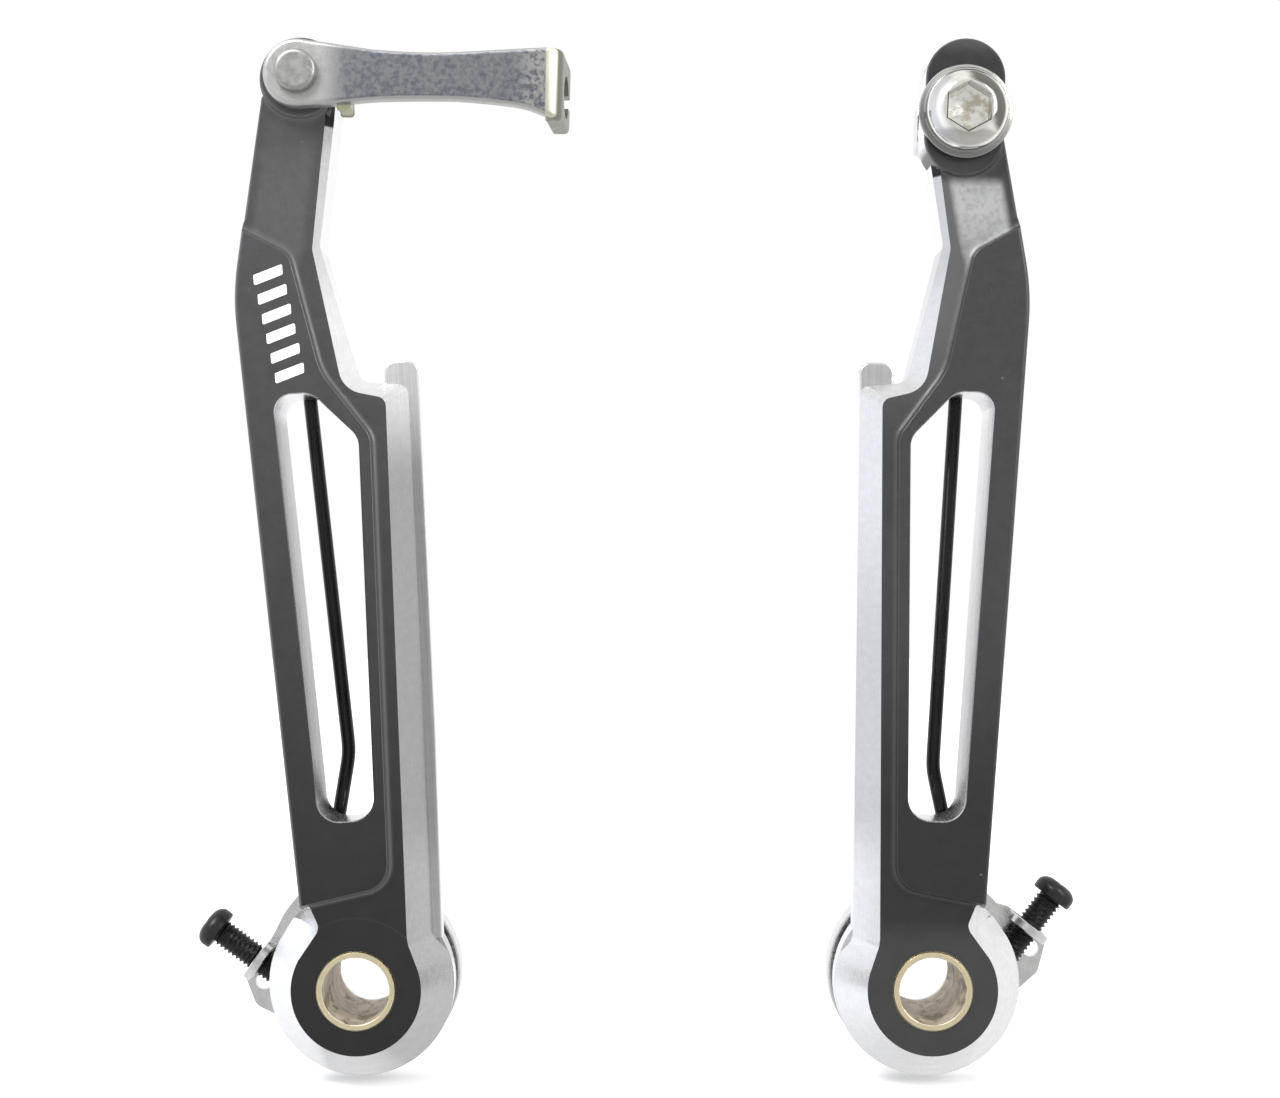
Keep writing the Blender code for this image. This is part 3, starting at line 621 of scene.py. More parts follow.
def chromed():
    """Polished plate, with painted shade on the washer's lower half and painted dark reflections round
    the bolt's head.
    """
    look = Look("chromed", Metallic=1.0)
    radius = look.radius()
    cloud = look.noise(0.9, 4.0, 0.65)
    colour = look.mix(look.ramp(cloud, 0.3, 0.7), (0.86, 0.845, 0.79), (0.97, 0.96, 0.91))
    # Painted dark reflections on the upper right of the dome and below it.
    across = look.math("ADD", look.times(look.x, 0.88), look.times(look.z, 0.47))
    across = look.math("ADD", across, look.times(look.math("SUBTRACT", cloud, 0.5), 1.1))
    on_dome = look.times(look.ramp(radius, 2.9, 3.2), look.ramp(radius, 4.6, 4.3))
    dark_reflection = look.times(on_dome, look.ramp(across, 1.2, 2.4, 0.0, 0.93))
    lower_dark_reflection = look.times(on_dome, look.ramp(look.z, -2.3, -3.0, 0.0, 0.5))
    colour = look.mix(look.math("MAXIMUM", dark_reflection, lower_dark_reflection), colour, (0.13, 0.125, 0.11))
    # Painted shade on the washer's rim, darker towards the bottom.
    on_rim = look.ramp(radius, 4.70, 4.80)
    low = look.ramp(look.math("ADD", look.z, look.times(look.x, 0.45)), 3.5, -4.5, 0.75, 0.30)
    colour = look.mix(on_rim, colour, look.scaled((0.90, 0.89, 0.85), low))
    # Painted shade on the left of the dome's outer ring.
    left_ring_shade = look.times(look.ramp(radius, 3.6, 4.1), look.ramp(radius, 4.7, 4.6),
                            look.ramp(look.x, -1.2, -2.6, 0.0, 0.6))
    colour = look.mix(left_ring_shade, colour, (0.40, 0.40, 0.42))
    # Painted shade as a dark line round the hexagon socket, by the distance from its flats, stronger
    # below.
    flats = look.math("ABSOLUTE", look.x)
    for rise in (math.sqrt(0.75), -math.sqrt(0.75)):
        slope = look.math("ADD", look.times(look.x, 0.5), look.times(look.z, rise))
        flats = look.math("MAXIMUM", flats, look.math("ABSOLUTE", slope))
    rim = look.times(look.ramp(flats, 2.44, 2.50), look.ramp(flats, 2.68, 2.62),
                     look.ramp(look.z, 1.5, -1.5, 0.55, 0.9))
    colour = look.mix(rim, colour, (0.09, 0.08, 0.06))
    stain = look.times(look.ramp(look.noise(0.8, 3.0, 0.6), 0.42, 0.62),
                      look.ramp(radius, 2.75, 2.45, 0.0, 0.75))
    colour = look.mix(stain, colour, (0.50, 0.45, 0.31))
    look.set("Base_Color", colour)
    look.set("Roughness", look.ramp(cloud, 0.3, 0.7, 0.10, 0.20))
    look.bump(look.noise(0.8, 2.0, 0.5), 0.012, 0.35)
    return look.material


def printed():
    look = Look("printed_white", Roughness=0.5)
    cloud = look.ramp(look.noise(3.0, 3.0), 0.3, 0.7, 0.95, 1.04)
    look.set("Base_Color", look.scaled((0.86, 0.86, 0.86), cloud))
    look.bump(look.noise(6.0, 2.0), 0.004, 0.4)
    return look.material


BARE = {side: machined(side) for side in SIDES}
BRONZE = bronze()
ZINC = zinc()
WIRE = black("black_wire", (0.012, 0.012, 0.013), 0.20, 0.5, 0.8)
BLACK_STEEL = black("black_oxide", (0.017, 0.017, 0.017), 0.36, 0.5, 4.0)
NYLON = black("black_nylon", (0.022, 0.022, 0.022), 0.55, 0.0)
PLATED = plated()
SATIN = satin()
CHROME = chromed()
PRINTED = printed()
DARK = {side: anodised(side) for side in SIDES}


# ---------------------------------------------------------------- the arms

def arm_outline(side):
    """The outline's points, each as (front, rim, depth, on the panel, edge is rounded)."""
    head_r, outer_side = HEAD_R[side], SIDE_UP + [SHOULDER[side]]
    stretches = [
        outer_side,
        [(HEAD_ARC[side], head_r - 0.45, head_r, HEAD_AT[side], 0.45, True)],
        SIDE_DOWN,
        [(HUB_ARC, BOSS_R, HUB_R, (0.0, 0.0), HUB_CHAMFER, False)],
        FLANK,
    ]
    corners, rims, depths, raised, soft = [], [], [], [], []
    for stretch in stretches:
        if len(stretch) == 1:
            (start, end, steps), inner, outer, centre, depth, is_soft = stretch[0]
            corners += [(*p, 0) for p in arc(inner, start, end, steps, centre)]
            rims += [(*p, 0) for p in arc(outer, start, end, steps, centre)]
            depths += [depth] * (steps + 1)
            raised += [False] * (steps + 1)
            soft += [is_soft] * (steps + 1)
            continue
        for corner, rim, depth, on_panel in stretch:
            corners.append(corner)
            rims.append(rim)
            depths.append(depth)
            raised.append(on_panel)
            soft.append(stretch is outer_side)
    per_corner = [1 if c[2] == 0 else ARC_STEPS + 1 for c in corners]
    spread = lambda values: [v for v, n in zip(values, per_corner) for _ in range(n)]
    depths, raised, soft = spread(depths), spread(raised), spread(soft)
    return list(zip(rounded(corners), rounded(rims), depths, raised, soft))


OUTLINE = {side: arm_outline(side) for side in SIDES}


def arm_base(made, side):
    """The arm before anything is cut: rings from the front plane over the chamfer to the back."""
    turns = 5
    rings = [[] for _ in range(turns + 2)]
    for (u, w), (rim_u, rim_w), depth, on_panel, is_soft in OUTLINE[side]:
        level = PANEL_Y if on_panel else FACE_Y
        if is_soft:
            rings[0].append((u, PANEL_Y, w))
            for k in range(turns + 1):
                a = math.pi / 2 * k / turns
                out, down = math.sin(a), 1 - math.cos(a)
                y = level + depth * down + (0.001 if on_panel else -0.02)
                rings[k + 1].append((u + (rim_u - u) * out, y, w + (rim_w - w) * out))
        else:
            stretch = (level - PANEL_Y) / depth
            u0, w0 = u + (u - rim_u) * stretch, w + (w - rim_w) * stretch
            rings[0].append((u0, PANEL_Y, w0))
            for k in range(turns + 1):
                share = (k + 1) / (turns + 1)
                rings[k + 1].append((
                    u0 + (rim_u - u0) * share,
                    PANEL_Y + (level + depth - PANEL_Y) * share,
                    w0 + (rim_w - w0) * share,
                ))
    rim = [(u, w) for u, _, w in rings[turns + 1]]
    for inset, y in BACK_EDGE:
        rings.append([(u, y, w) for u, w in offset(rim, inset, True)])
    loft(made, rings, [not is_soft for *_, is_soft in OUTLINE[side]])


def painted(mesh, index):
    for face in mesh.polygons:
        face.material_index = index
    return mesh


def ridge_cutter(made):
    """What is milled away beside the raised panel, with a hollow fillet at the panel's foot."""
    edge = rounded(RIDGE, closed=False)
    rings = [[(u, PANEL_Y - 10, w) for u, w in offset(edge, RIDGE_FILLET[0][0]) + RIDGE_OUTSIDE]]
    for distance, y in RIDGE_FILLET:
        rings.append([(u, y, w) for u, w in offset(edge, distance) + RIDGE_OUTSIDE])
    loft(made, rings)


def foot_of_head(side, head_outline):
    """The hollow fillet round the head's disc, kept inside the arm's front face."""
    def flare(made):
        loft(made, [[(u, y, w) for u, w in head_outline(g)] for g, y in FLARE])

    def inside(made):
        face = offset([front for front, *_ in OUTLINE[side]], -0.03, True)
        prism(made, face, (PANEL_Y - 1.2, FACE_Y + 1.3))

    foot = joined("foot", mesh_from("flare", flare, side),
                  [("INTERSECT", mesh_from("inside", inside, side))], True)
    mesh = foot.data.copy()
    bpy.data.objects.remove(foot, do_unlink=True)
    return painted(mesh, 0)


def capsule(low, high, radius):
    return arc(radius, 0, 180, 36, (0, high)) + arc(radius, 180, 360, 36, (0, low))


FLARE = [(-0.3, -17.2), (0.025, -17.06), (0.045, -16.97), (0.12, -16.82), (0.30, -16.68),
         (0.62, -16.57), (1.15, -16.49), (1.3, -16.46), (1.3, -15.6)]  # growth, depth


def build_arm(side):
    left = side == "left"

    def head_outline(grow):
        if left:
            return circle(4.8 + grow, 96, HEAD_AT[side])
        return capsule(102.5, 109.5, 4.75 + grow)

    top = PANEL_Y if left else -17.6

    def head(made):
        wall_from = 0.45 if left else 0.62
        levels = [(-0.5, top), (-0.22, top + 0.05), (-0.06, top + 0.2), (0.0, top + wall_from),
                  (0.0, -12.0)]
        loft(made, [[(u, y, w) for u, w in head_outline(g)] for g, y in levels])

    def window(made):
        outline = rounded(WINDOW)
        levels = [(0.16, -25), (0.16, PANEL_Y - 0.04), (0.02, PANEL_Y + 0.12), (0.0, PANEL_Y + 0.2),
                  (0.0, ARM_BACK_Y - 0.35), (0.3, ARM_BACK_Y + 0.05), (0.3, 0)]
        stack(made, outline, levels, -1.0)

    def hub(made):
        turned(made, [(HUB_R - 0.05, -11.2), (HUB_R - 0.05, HUB_BACK_Y - 0.4),
                      (HUB_R - 0.16, HUB_BACK_Y - 0.12), (HUB_R - 0.45, HUB_BACK_Y)], 120)

    def spot_face(made):
        turned(made, [(8.95, -30), (8.95, FACE_Y - 0.01), (8.80, FACE_Y + 0.05),
                      (8.55, FACE_Y + 0.10), (8.2, FACE_Y + 0.13)], 120)

    def bore(made):
        turned(made, [(5.2, -30), (5.0, FACE_Y - 0.1), (4.74, FACE_Y + 0.22), (4.74, HUB_BACK_Y - 0.2),
                      (5.2, HUB_BACK_Y + 0.3), (5.2, 0)], 96)

    def lug(made):
        stack(made, rounded(LUG[side]), [(0.35, -12.2), (0.1, -12.1), (0.0, -11.85), (0.0, -9.4),
                                         (0.1, -9.15), (0.35, -9.05)])

    hole_r, hole_at = (2.0, HEAD_AT[side]) if left else (3.05, (0, BOLT_W))
    steps = [
        ("DIFFERENCE", painted(mesh_from("ridge", ridge_cutter, side), 0)),
        ("UNION", painted(mesh_from("hub", hub, side), 1)),
        ("UNION", painted(mesh_from("lug", lug, side), 1)),
        ("UNION", foot_of_head(side, head_outline)),
        ("UNION", painted(mesh_from("head", head, side), 0)),
        ("DIFFERENCE", painted(mesh_from("spot", spot_face, side), 0)),
        ("DIFFERENCE", painted(mesh_from("window", window, side), 1)),
        ("DIFFERENCE", painted(mesh_from("bore", bore, side), 1)),
        ("DIFFERENCE", painted(mesh_from("hole", lambda m: turned(
            m, [(hole_r, -25), (hole_r, 0)], 48, hole_at), side), 1)),
        ("DIFFERENCE", painted(mesh_from("pin", lambda m: turned(
            m, [(1.6, -11.2), (1.6, 0)], 32, STOP_PIN), side), 1)),
    ]
    arm = joined(f"{side}_arm_forging", mesh_from("arm", lambda m: arm_base(m, side), side), steps)
    for face in arm.data.polygons:
        middle_at = face.center / MM
        if middle_at.z > 96 and middle_at.y > -16.2 and face.normal.x * SIGN[side] > 0.55:
            face.material_index = 1
    place(arm, frame_of(side), f"{side}_arm", f"{side}_brake_arm", slot="anodised",
          material=[DARK[side], BARE[side]])
    shade(arm, 26.0)
    return arm


# ---------------------------------------------------------------- turned pieces on the pivots

def plain(name, build, side="left"):
    """A piece made without Booleans."""
    return joined(name, mesh_from(name, build, side))


def add_pivot_pieces(side):
    body, here = f"{side}_arm", frame_of(side)
    bush = [(4.0, -16.45), (4.02, -16.56), (4.08, -16.63), (4.18, -16.65), (4.52, -16.65),
            (4.66, -16.6), (4.7, -16.48), (4.7, -1.8), (4.5, -1.6), (4.1, -1.6), (4.0, -1.75)]
    obj = plain(f"{side}_bush", lambda m: lathe(m, bush, 96), side)
    place(obj, here, body, f"{side}_pivot_bush", slot="bronze", material=BRONZE)
    shade(obj, 40)
    washer = [(5.05, -7.5), (10.7, -7.5), (10.8, -7.4), (10.8, -7.05), (10.7, -6.95), (5.05, -6.95)]
    obj = plain(f"{side}_felt_washer", lambda m: lathe(m, washer, 96), side)
    place(obj, here, body, f"{side}_dust_washer", slot="nylon", material=NYLON)
    shade(obj)
    pin = [(1.5, -10.9), (1.5, -6.2), (1.38, -5.95), (1.1, -5.8)]
    obj = plain(f"{side}_stop_pin", lambda m: turned(m, pin, 40, STOP_PIN), side)
    place(obj, here, body, f"{side}_spring_stop_pin", slot="zinc", material=ZINC)
    shade(obj)


# ---------------------------------------------------------------- springs

WIRE_R, COIL_R = 0.86, 6.6
COIL_FRONT_Y, COIL_BACK_Y, LEG_Y = -5.9, -2.5, -7.4
KINK = {"left": (-0.1, 28.1), "right": (-0.35, 26.1)}
LEG_TOP = {"left": (-2.1, 77.0), "right": (-1.75, 77.0)}
LEG_END = 8.0
SEAT_TURN = {"left": math.radians(5.5), "right": math.radians(21.5)}
SCREW_LEAN = math.radians(31.0)


def eased(points, spacing, passes):
    """The path resampled evenly, with its corners rounded."""
    fine = []
    for a, b in zip(points, points[1:]):
        a, b = Vector(a), Vector(b)
        count = max(1, round((b - a).length / spacing))
        fine += [a.lerp(b, i / count) for i in range(count)]
    fine.append(Vector(points[-1]))
    for _ in range(passes):
        fine = [fine[0]] + [
            (fine[i - 1] + 2 * fine[i] + fine[i + 1]) / 4 for i in range(1, len(fine) - 1)
        ] + [fine[-1]]
    return fine


def spring_path(side):
    """Centre line of the wire: top of the long leg, kink, coil, then the short leg to the screw."""
    kink, top = Vector(KINK[side]), LEG_TOP[side]
    heading = math.atan2(-kink.y, -kink.x) - math.asin(COIL_R / kink.length)
    first = (heading - math.pi / 2) % (2 * math.pi)
    seat = SEAT_TURN[side] + LEAN[side]
    extra = math.radians(3.2) if side == "right" else 0.0
    last = math.pi - SCREW_LEAN - seat + extra + 4 * math.pi
    points = [(top[0], LEG_Y, top[1]), (kink.x, LEG_Y, kink.y)]
    touch = Vector((math.cos(first), math.sin(first))) * COIL_R
    for share, y in ((0.25, LEG_Y), (0.46, -6.9), (0.64, -5.95), (0.85, COIL_FRONT_Y)):
        point = kink.lerp(touch, share)
        points.append((point.x, y, point.y))
    steps = 120
    for i in range(steps + 1):
        angle = first + (last - first) * i / steps
        y = COIL_FRONT_Y + (COIL_BACK_Y - COIL_FRONT_Y) * i / steps
        points.append((COIL_R * math.cos(angle), y, COIL_R * math.sin(angle)))
    end = Vector((math.cos(last), math.sin(last))) * COIL_R
    along = Vector((-math.sin(last), math.cos(last)))
    point = end + along * LEG_END
    points.append((point.x, COIL_BACK_Y, point.y))
    return eased(points, 0.55, 5)


def add_spring(side):
    path = spring_path(side)
    radii = [WIRE_R] * len(path)
    radii[0] = radii[-1] = WIRE_R * 0.82
    obj = plain(f"{side}_spring", lambda m: tube(m, path, radii, 20), side)
    place(obj, frame_of(side), f"{side}_arm", f"{side}_return_spring", slot="spring_steel",
          material=WIRE)
    shade(obj, 50, weighted=False)
    kink, top = KINK[side], LEG_TOP[side]
    lean = (kink[0] - top[0]) / (top[1] - kink[1])
    sleeve = [(0.95, -0.4), (1.24, -0.4), (1.37, -0.25), (1.37, 4.5), (1.27, 4.6), (0.95, 4.6)]

    def build(made):
        for v in range(24):
            a = 2 * math.pi * v / 24
            for r, d in sleeve:
                made.verts.new((top[0] + lean * d + r * math.cos(a), LEG_Y + r * math.sin(a),
                                top[1] - d + r * lean * math.cos(a)))
        made.verts.ensure_lookup_table()
        count = len(sleeve)
        for v in range(24):
            for j in range(count):
                k, w = (j + 1) % count, (v + 1) % 24
                made.faces.new([made.verts[i] for i in (
                    v * count + j, v * count + k, w * count + k, w * count + j)])

    obj = plain(f"{side}_sleeve", build, side)
    place(obj, frame_of(side), f"{side}_arm", f"{side}_spring_sleeve", slot="nylon", material=NYLON)
    shade(obj)


# ---------------------------------------------------------------- spring seats and their screws

TAB_AT, TAB_HALF, TAB_THICK = {"left": 14.0, "right": 14.9}, 3.0, 1.1
SCREW_Y, SCREW_R, SCREW_CORE_R, SCREW_LENGTH, PITCH = -3.3, 1.66, 1.40, 10.3, 0.60
SCREW_SHOWS = {"left": 5.6, "right": 4.2}
SEAT_PIN = (9.2 * math.cos(math.radians(125)), 9.2 * math.sin(math.radians(125)))


def along_screw(tab_at, distance, across=0.0):
    """A point of the seat's plane, by distance from the pivot's foot on the screw's axis."""
    axis = Vector((-math.cos(SCREW_LEAN), math.sin(SCREW_LEAN)))
    side = Vector((axis.y, -axis.x))
    tab = Vector((-tab_at, 0.0))
    return tab + axis * (distance - tab.dot(axis)) + side * across


def add_seat(side):
    tab_at, half = TAB_AT[side], TAB_THICK / 2
    at = tab_at * math.cos(SCREW_LEAN)
    cup = [(4.15, -0.12), (4.27, 0.0), (6.78, 0.0), (6.9, -0.1), (6.95, -0.4), (11.2, -0.4),
           (11.4, -0.48), (11.5, -0.7), (11.5, -4.4), (11.42, -4.55), (11.2, -4.62), (10.35, -4.6),
           (10.2, -4.5), (10.2, -4.25), (10.4, -4.0), (10.5, -3.7), (10.5, -1.6), (10.3, -1.4),
           (4.27, -1.4), (4.15, -1.28)]
    ear = [
        (*along_screw(tab_at, at + half, -TAB_HALF), 0.9),
        (*along_screw(tab_at, at + half, TAB_HALF), 0.6),
        *[(*p, 0) for p in arc(13.1, 163, 138, 12)],
        (-7.4, 7.8, 0.6), (-7.0, 5.6, 0), (-7.0, -6.0, 0), (-7.2, -8.6, 0), (-14.2, -6.0, 1.6),
    ]

    def ear_plate(made):
        stack(made, rounded(ear), [(0.1, -1.55), (0.0, -1.45), (0.0, -0.55), (0.1, -0.45)])

    def rows(made, outline, distances):
        loft(made, [[(*along_screw(tab_at, d, c), y) for c, y in outline] for d in distances])
        for vert in made.verts:
            vert.co = Vector((vert.co.x, vert.co.z, vert.co.y))

    def tab(made):
        wide = TAB_HALF - 0.15
        outline = [(-wide, -0.8), (wide, -0.8)]
        outline += [(c, SCREW_Y - 0.1 + d) for c, d in arc(wide, 0, -180, 32)]
        inner = [(c * 0.955, -0.8 if y == -0.8 else SCREW_Y - 0.1 + (y - SCREW_Y + 0.1) * 0.955)
                 for c, y in outline]
        loft(made, [
            [(*along_screw(tab_at, d, c), y) for c, y in shape]
            for shape, d in ((inner, at - half), (outline, at - half + 0.12),
                             (outline, at + half - 0.12), (inner, at + half))
        ])
        for vert in made.verts:
            vert.co = Vector((vert.co.x, vert.co.z, vert.co.y))

    def thread_hole(made):
        rows(made, [(c, SCREW_Y + d) for c, d in circle(SCREW_R + 0.1, 40)], (6.2, 18))

    steps = [
        ("UNION", mesh_from("ear", ear_plate, side)),
        ("UNION", mesh_from("tab", tab, side)),
        ("DIFFERENCE", mesh_from("thread", thread_hole, side)),
        ("DIFFERENCE", mesh_from("eyelet", lambda m: turned(
            m, [(1.05, -5), (1.05, 2)], 40, along_screw(tab_at, at - 1.9, -2.35)), side)),
        ("DIFFERENCE", mesh_from("pin", lambda m: turned(
            m, [(1.22, -5), (1.22, 2)], 32, SEAT_PIN), side)),
    ]
    seat = joined(f"{side}_cup", mesh_from("cup", lambda m: lathe(m, cup, 120), side), steps)
    here = frame_of(side, SIGN[side] * SEAT_TURN[side])
    place(seat, here, "spring_seats", f"{side}_spring_seat", slot="zinc", material=ZINC)
    shade(seat, 30)
    pin = [(1.0, -1.35), (1.2, -1.2), (1.2, 3.1), (1.08, 3.38), (0.8, 3.5)]
    obj = plain(f"{side}_locating_pin", lambda m: turned(m, pin, 32, SEAT_PIN), side)
    place(obj, here, "spring_seats", f"{side}_seat_pin", slot="zinc", material=ZINC)
    shade(obj)


def add_screw(side):
    """The tension screw, with its own Z axis along the thread towards the head."""
    steps, length = 40, SCREW_LENGTH
    levels = int(length / PITCH * 8)

    def radius_at(z, turn):
        """A rolled thread: flat crests, rounded roots, running out at both ends."""
        phase = (z / PITCH - turn) % 1.0
        height = min(1.0, max(0.0, 1.25 - abs(phase - 0.5) * 3.4))
        fade = min(1.0, max(0.0, (z + length) / 0.8)) * min(1.0, max(0.0, -z / 0.35))
        return SCREW_CORE_R + (SCREW_R - SCREW_CORE_R) * height * fade

    head = [(2.30, 0.0), (2.50, 0.06), (2.58, 0.2), (2.6, 0.95), (2.55, 1.25), (2.40, 1.55),
            (2.15, 1.82), (1.80, 2.04), (1.4, 2.17), (1.0, 2.22)]

    def build(made):
        rings = [[(*p, -length) for p in circle(0.9, steps)]]
        for level in range(levels + 1):
            z = -length + 0.3 + (length - 0.3) * level / levels
            ring = []
            for i in range(steps):
                a = 2 * math.pi * i / steps
                r = radius_at(z, i / steps)
                ring.append((r * math.cos(a), r * math.sin(a), z))
            rings.append(ring)
        for r, z in head:
            rings.append([(*p, z) for p in circle(r, steps)])
        loft(made, rings)

    def blade(long, wide):
        def slot(made):
            rings = []
            for share, z in ((0.45, 0.75), (0.78, 1.5), (1.0, 2.6)):
                x, y = (long / 2 * share, wide / 2) if long > wide else (long / 2, wide / 2 * share)
                rings.append([(-x, -y, z), (x, -y, z), (x, y, z), (-x, y, z)])
            loft(made, rings)
        return slot

    screw = joined(f"{side}_screw_cross_head", mesh_from("screw", build), [
        ("DIFFERENCE", mesh_from("slot", blade(3.3, 0.75))),
        ("DIFFERENCE", mesh_from("slot", blade(0.75, 3.3))),
    ])
    under_head = TAB_AT[side] * math.cos(SCREW_LEAN) + TAB_THICK / 2 + SCREW_SHOWS[side]
    at = along_screw(TAB_AT[side], under_head)
    here = frame_of(side, SIGN[side] * SEAT_TURN[side], (SIGN[side] * at.x, SCREW_Y, at.y),
                    -SIGN[side] * (math.pi / 2 - SCREW_LEAN))
    place(screw, here, f"{side}_screw", f"{side}_tension_screw", slot="black_steel",
          material=BLACK_STEEL)
    shade(screw, 48)


# ---------------------------------------------------------------- link and rivet

LINK_FRONT, LINK_BACK = -19.8, -17.8
LINK_DROP = math.radians(1.5)
LINK_TOP = [(3.6, 3.64), (6.6, 3.27), (9.8, 2.93), (15.8, 2.80), (21.8, 3.16), (27.2, 3.60),
            (30.1, 3.80)]
LINK_BOTTOM = [(30.3, -4.55), (29.2, -4.10), (26.3, -3.27), (20.3, -2.76), (15.8, -2.76),
               (9.8, -3.00), (6.2, -3.42), (3.4, -3.80)]
BEND_AT, BEND_R, BEND_BY, END_LENGTH = 29.5, 2.1, math.radians(86.0), 8.26


def smooth_line(points, per=8):
    """A Catmull-Rom line through the points."""
    line = []
    for i in range(len(points) - 1):
        p = [Vector(points[max(0, min(len(points) - 1, i + k))]) for k in (-1, 0, 1, 2)]
        for step in range(per):
            t = step / per
            line.append(tuple(0.5 * (
                2 * p[1] + (p[2] - p[0]) * t + (2 * p[0] - 5 * p[1] + 4 * p[2] - p[3]) * t * t
                + (3 * p[1] - p[0] - 3 * p[2] + p[3]) * t ** 3
            )))
    return line + [tuple(points[-1])]


def bent(vert):
    """A point of the flat link, moved to where bending its end back puts it."""
    s, y, v = vert.co
    if s <= BEND_AT:
        return
    depth = y - LINK_FRONT
    angle = min((s - BEND_AT) / BEND_R, BEND_BY)
    beyond = max(0.0, s - BEND_AT - BEND_R * BEND_BY)
    vert.co = Vector((
        BEND_AT + (BEND_R - depth) * math.sin(angle) + beyond * math.cos(BEND_BY),
        LINK_FRONT + BEND_R - (BEND_R - depth) * math.cos(angle) + beyond * math.sin(BEND_BY),
        v,
    ))


def add_link():
    head_u, head_w = HEAD_AT["left"]
    here = frame_of("left", None, (head_u, 0, head_w), LEAN["left"] + LINK_DROP)
    far = BEND_AT + BEND_R * BEND_BY + END_LENGTH
    eye = arc(4.05, 278, 80, 60)
    outline = eye + smooth_line(LINK_TOP) + [
        (far - 0.8, 3.80), (far, 3.0), (far, -3.65), (far - 0.8, -4.45), (31.4, -4.70),
    ] + smooth_line(LINK_BOTTOM)

    def plate(made):
        levels = [(-0.62, LINK_FRONT), (-0.40, LINK_FRONT + 0.03), (-0.20, LINK_FRONT + 0.13),
                  (-0.06, LINK_FRONT + 0.32), (0.0, LINK_FRONT + 0.6), (0.0, LINK_BACK - 0.25),
                  (-0.08, LINK_BACK - 0.08), (-0.25, LINK_BACK)]
        stack(made, outline, levels)
        cuts = 16
        for i in range(cuts + 1):
            s = BEND_AT + BEND_R * BEND_BY * i / cuts
            bmesh.ops.bisect_plane(
                made, geom=made.verts[:] + made.edges[:] + made.faces[:],
                plane_co=(s, 0, 0), plane_no=(1, 0, 0), dist=1e-5)
        for vert in made.verts:
            bent(vert)

    def tab(made):
        outline = rounded([(4.95, -2.9, 0), (4.95, -4.3, 0.3), (6.4, -4.3, 0.3), (6.4, -2.9, 0)])
        stack(made, outline, [(-0.12, LINK_FRONT + 0.55), (0.0, LINK_FRONT + 0.7), (0.0, -16.15),
                              (-0.12, -16.0)])

    def keyhole(made):
        ring = arc(2.5, 108, 432, 60, (-0.9, -14.2)) + [(-0.13, -8.0), (-1.67, -8.0)]
        loft(made, [[(s, y, v) for v, y in ring] for s in (28, 38)])

    link = joined("cable_link", mesh_from("link", plate), [
        ("UNION", mesh_from("tab", tab)),
        ("DIFFERENCE", mesh_from("keyhole", keyhole)),
        ("DIFFERENCE", mesh_from("eye", lambda m: turned(m, [(2.0, -25), (2.0, 0)], 48))),
    ])
    place(link, here, "link", "noodle_link", slot="galvanised", material=PLATED)
    shade(link, 35)
    spacer = [(2.0, -17.7), (3.8, -17.7), (3.9, -17.62), (3.9, -17.48), (3.8, -17.4), (2.0, -17.4)]
    obj = plain("link_ring", lambda m: lathe(m, spacer, 64))
    place(obj, here, "link", "link_spacer", slot="zinc", material=ZINC)
    shade(obj)
    on_head = frame_of("left", None, (head_u, 0, head_w))
    head = [(1.9, -21.10), (2.15, -21.07), (2.33, -20.98), (2.45, -20.84), (2.5, -20.66),
            (2.5, -19.95), (2.45, -19.9), (1.9, -19.9), (1.9, -8.0), (2.45, -7.95), (2.6, -7.8),
            (2.6, -7.4), (2.3, -7.1), (1.8, -6.9)]
    obj = plain("rivet", lambda m: turned(m, head, 72))
    place(obj, on_head, "left_arm", "link_rivet", slot="zinc", material=SATIN)
    shade(obj, 40)
    washer = [(2.0, -8.8), (3.7, -8.8), (3.8, -8.72), (3.8, -8.18), (3.7, -8.1), (2.0, -8.1)]
    obj = plain("rivet_back_washer", lambda m: lathe(m, washer, 64))
    place(obj, on_head, "left_arm", "rivet_washer", slot="zinc", material=ZINC)
    shade(obj)


# ---------------------------------------------------------------- cable anchor

def hexagon(across_flats):
    return arc(across_flats / math.sqrt(3), 30, 330, 5)


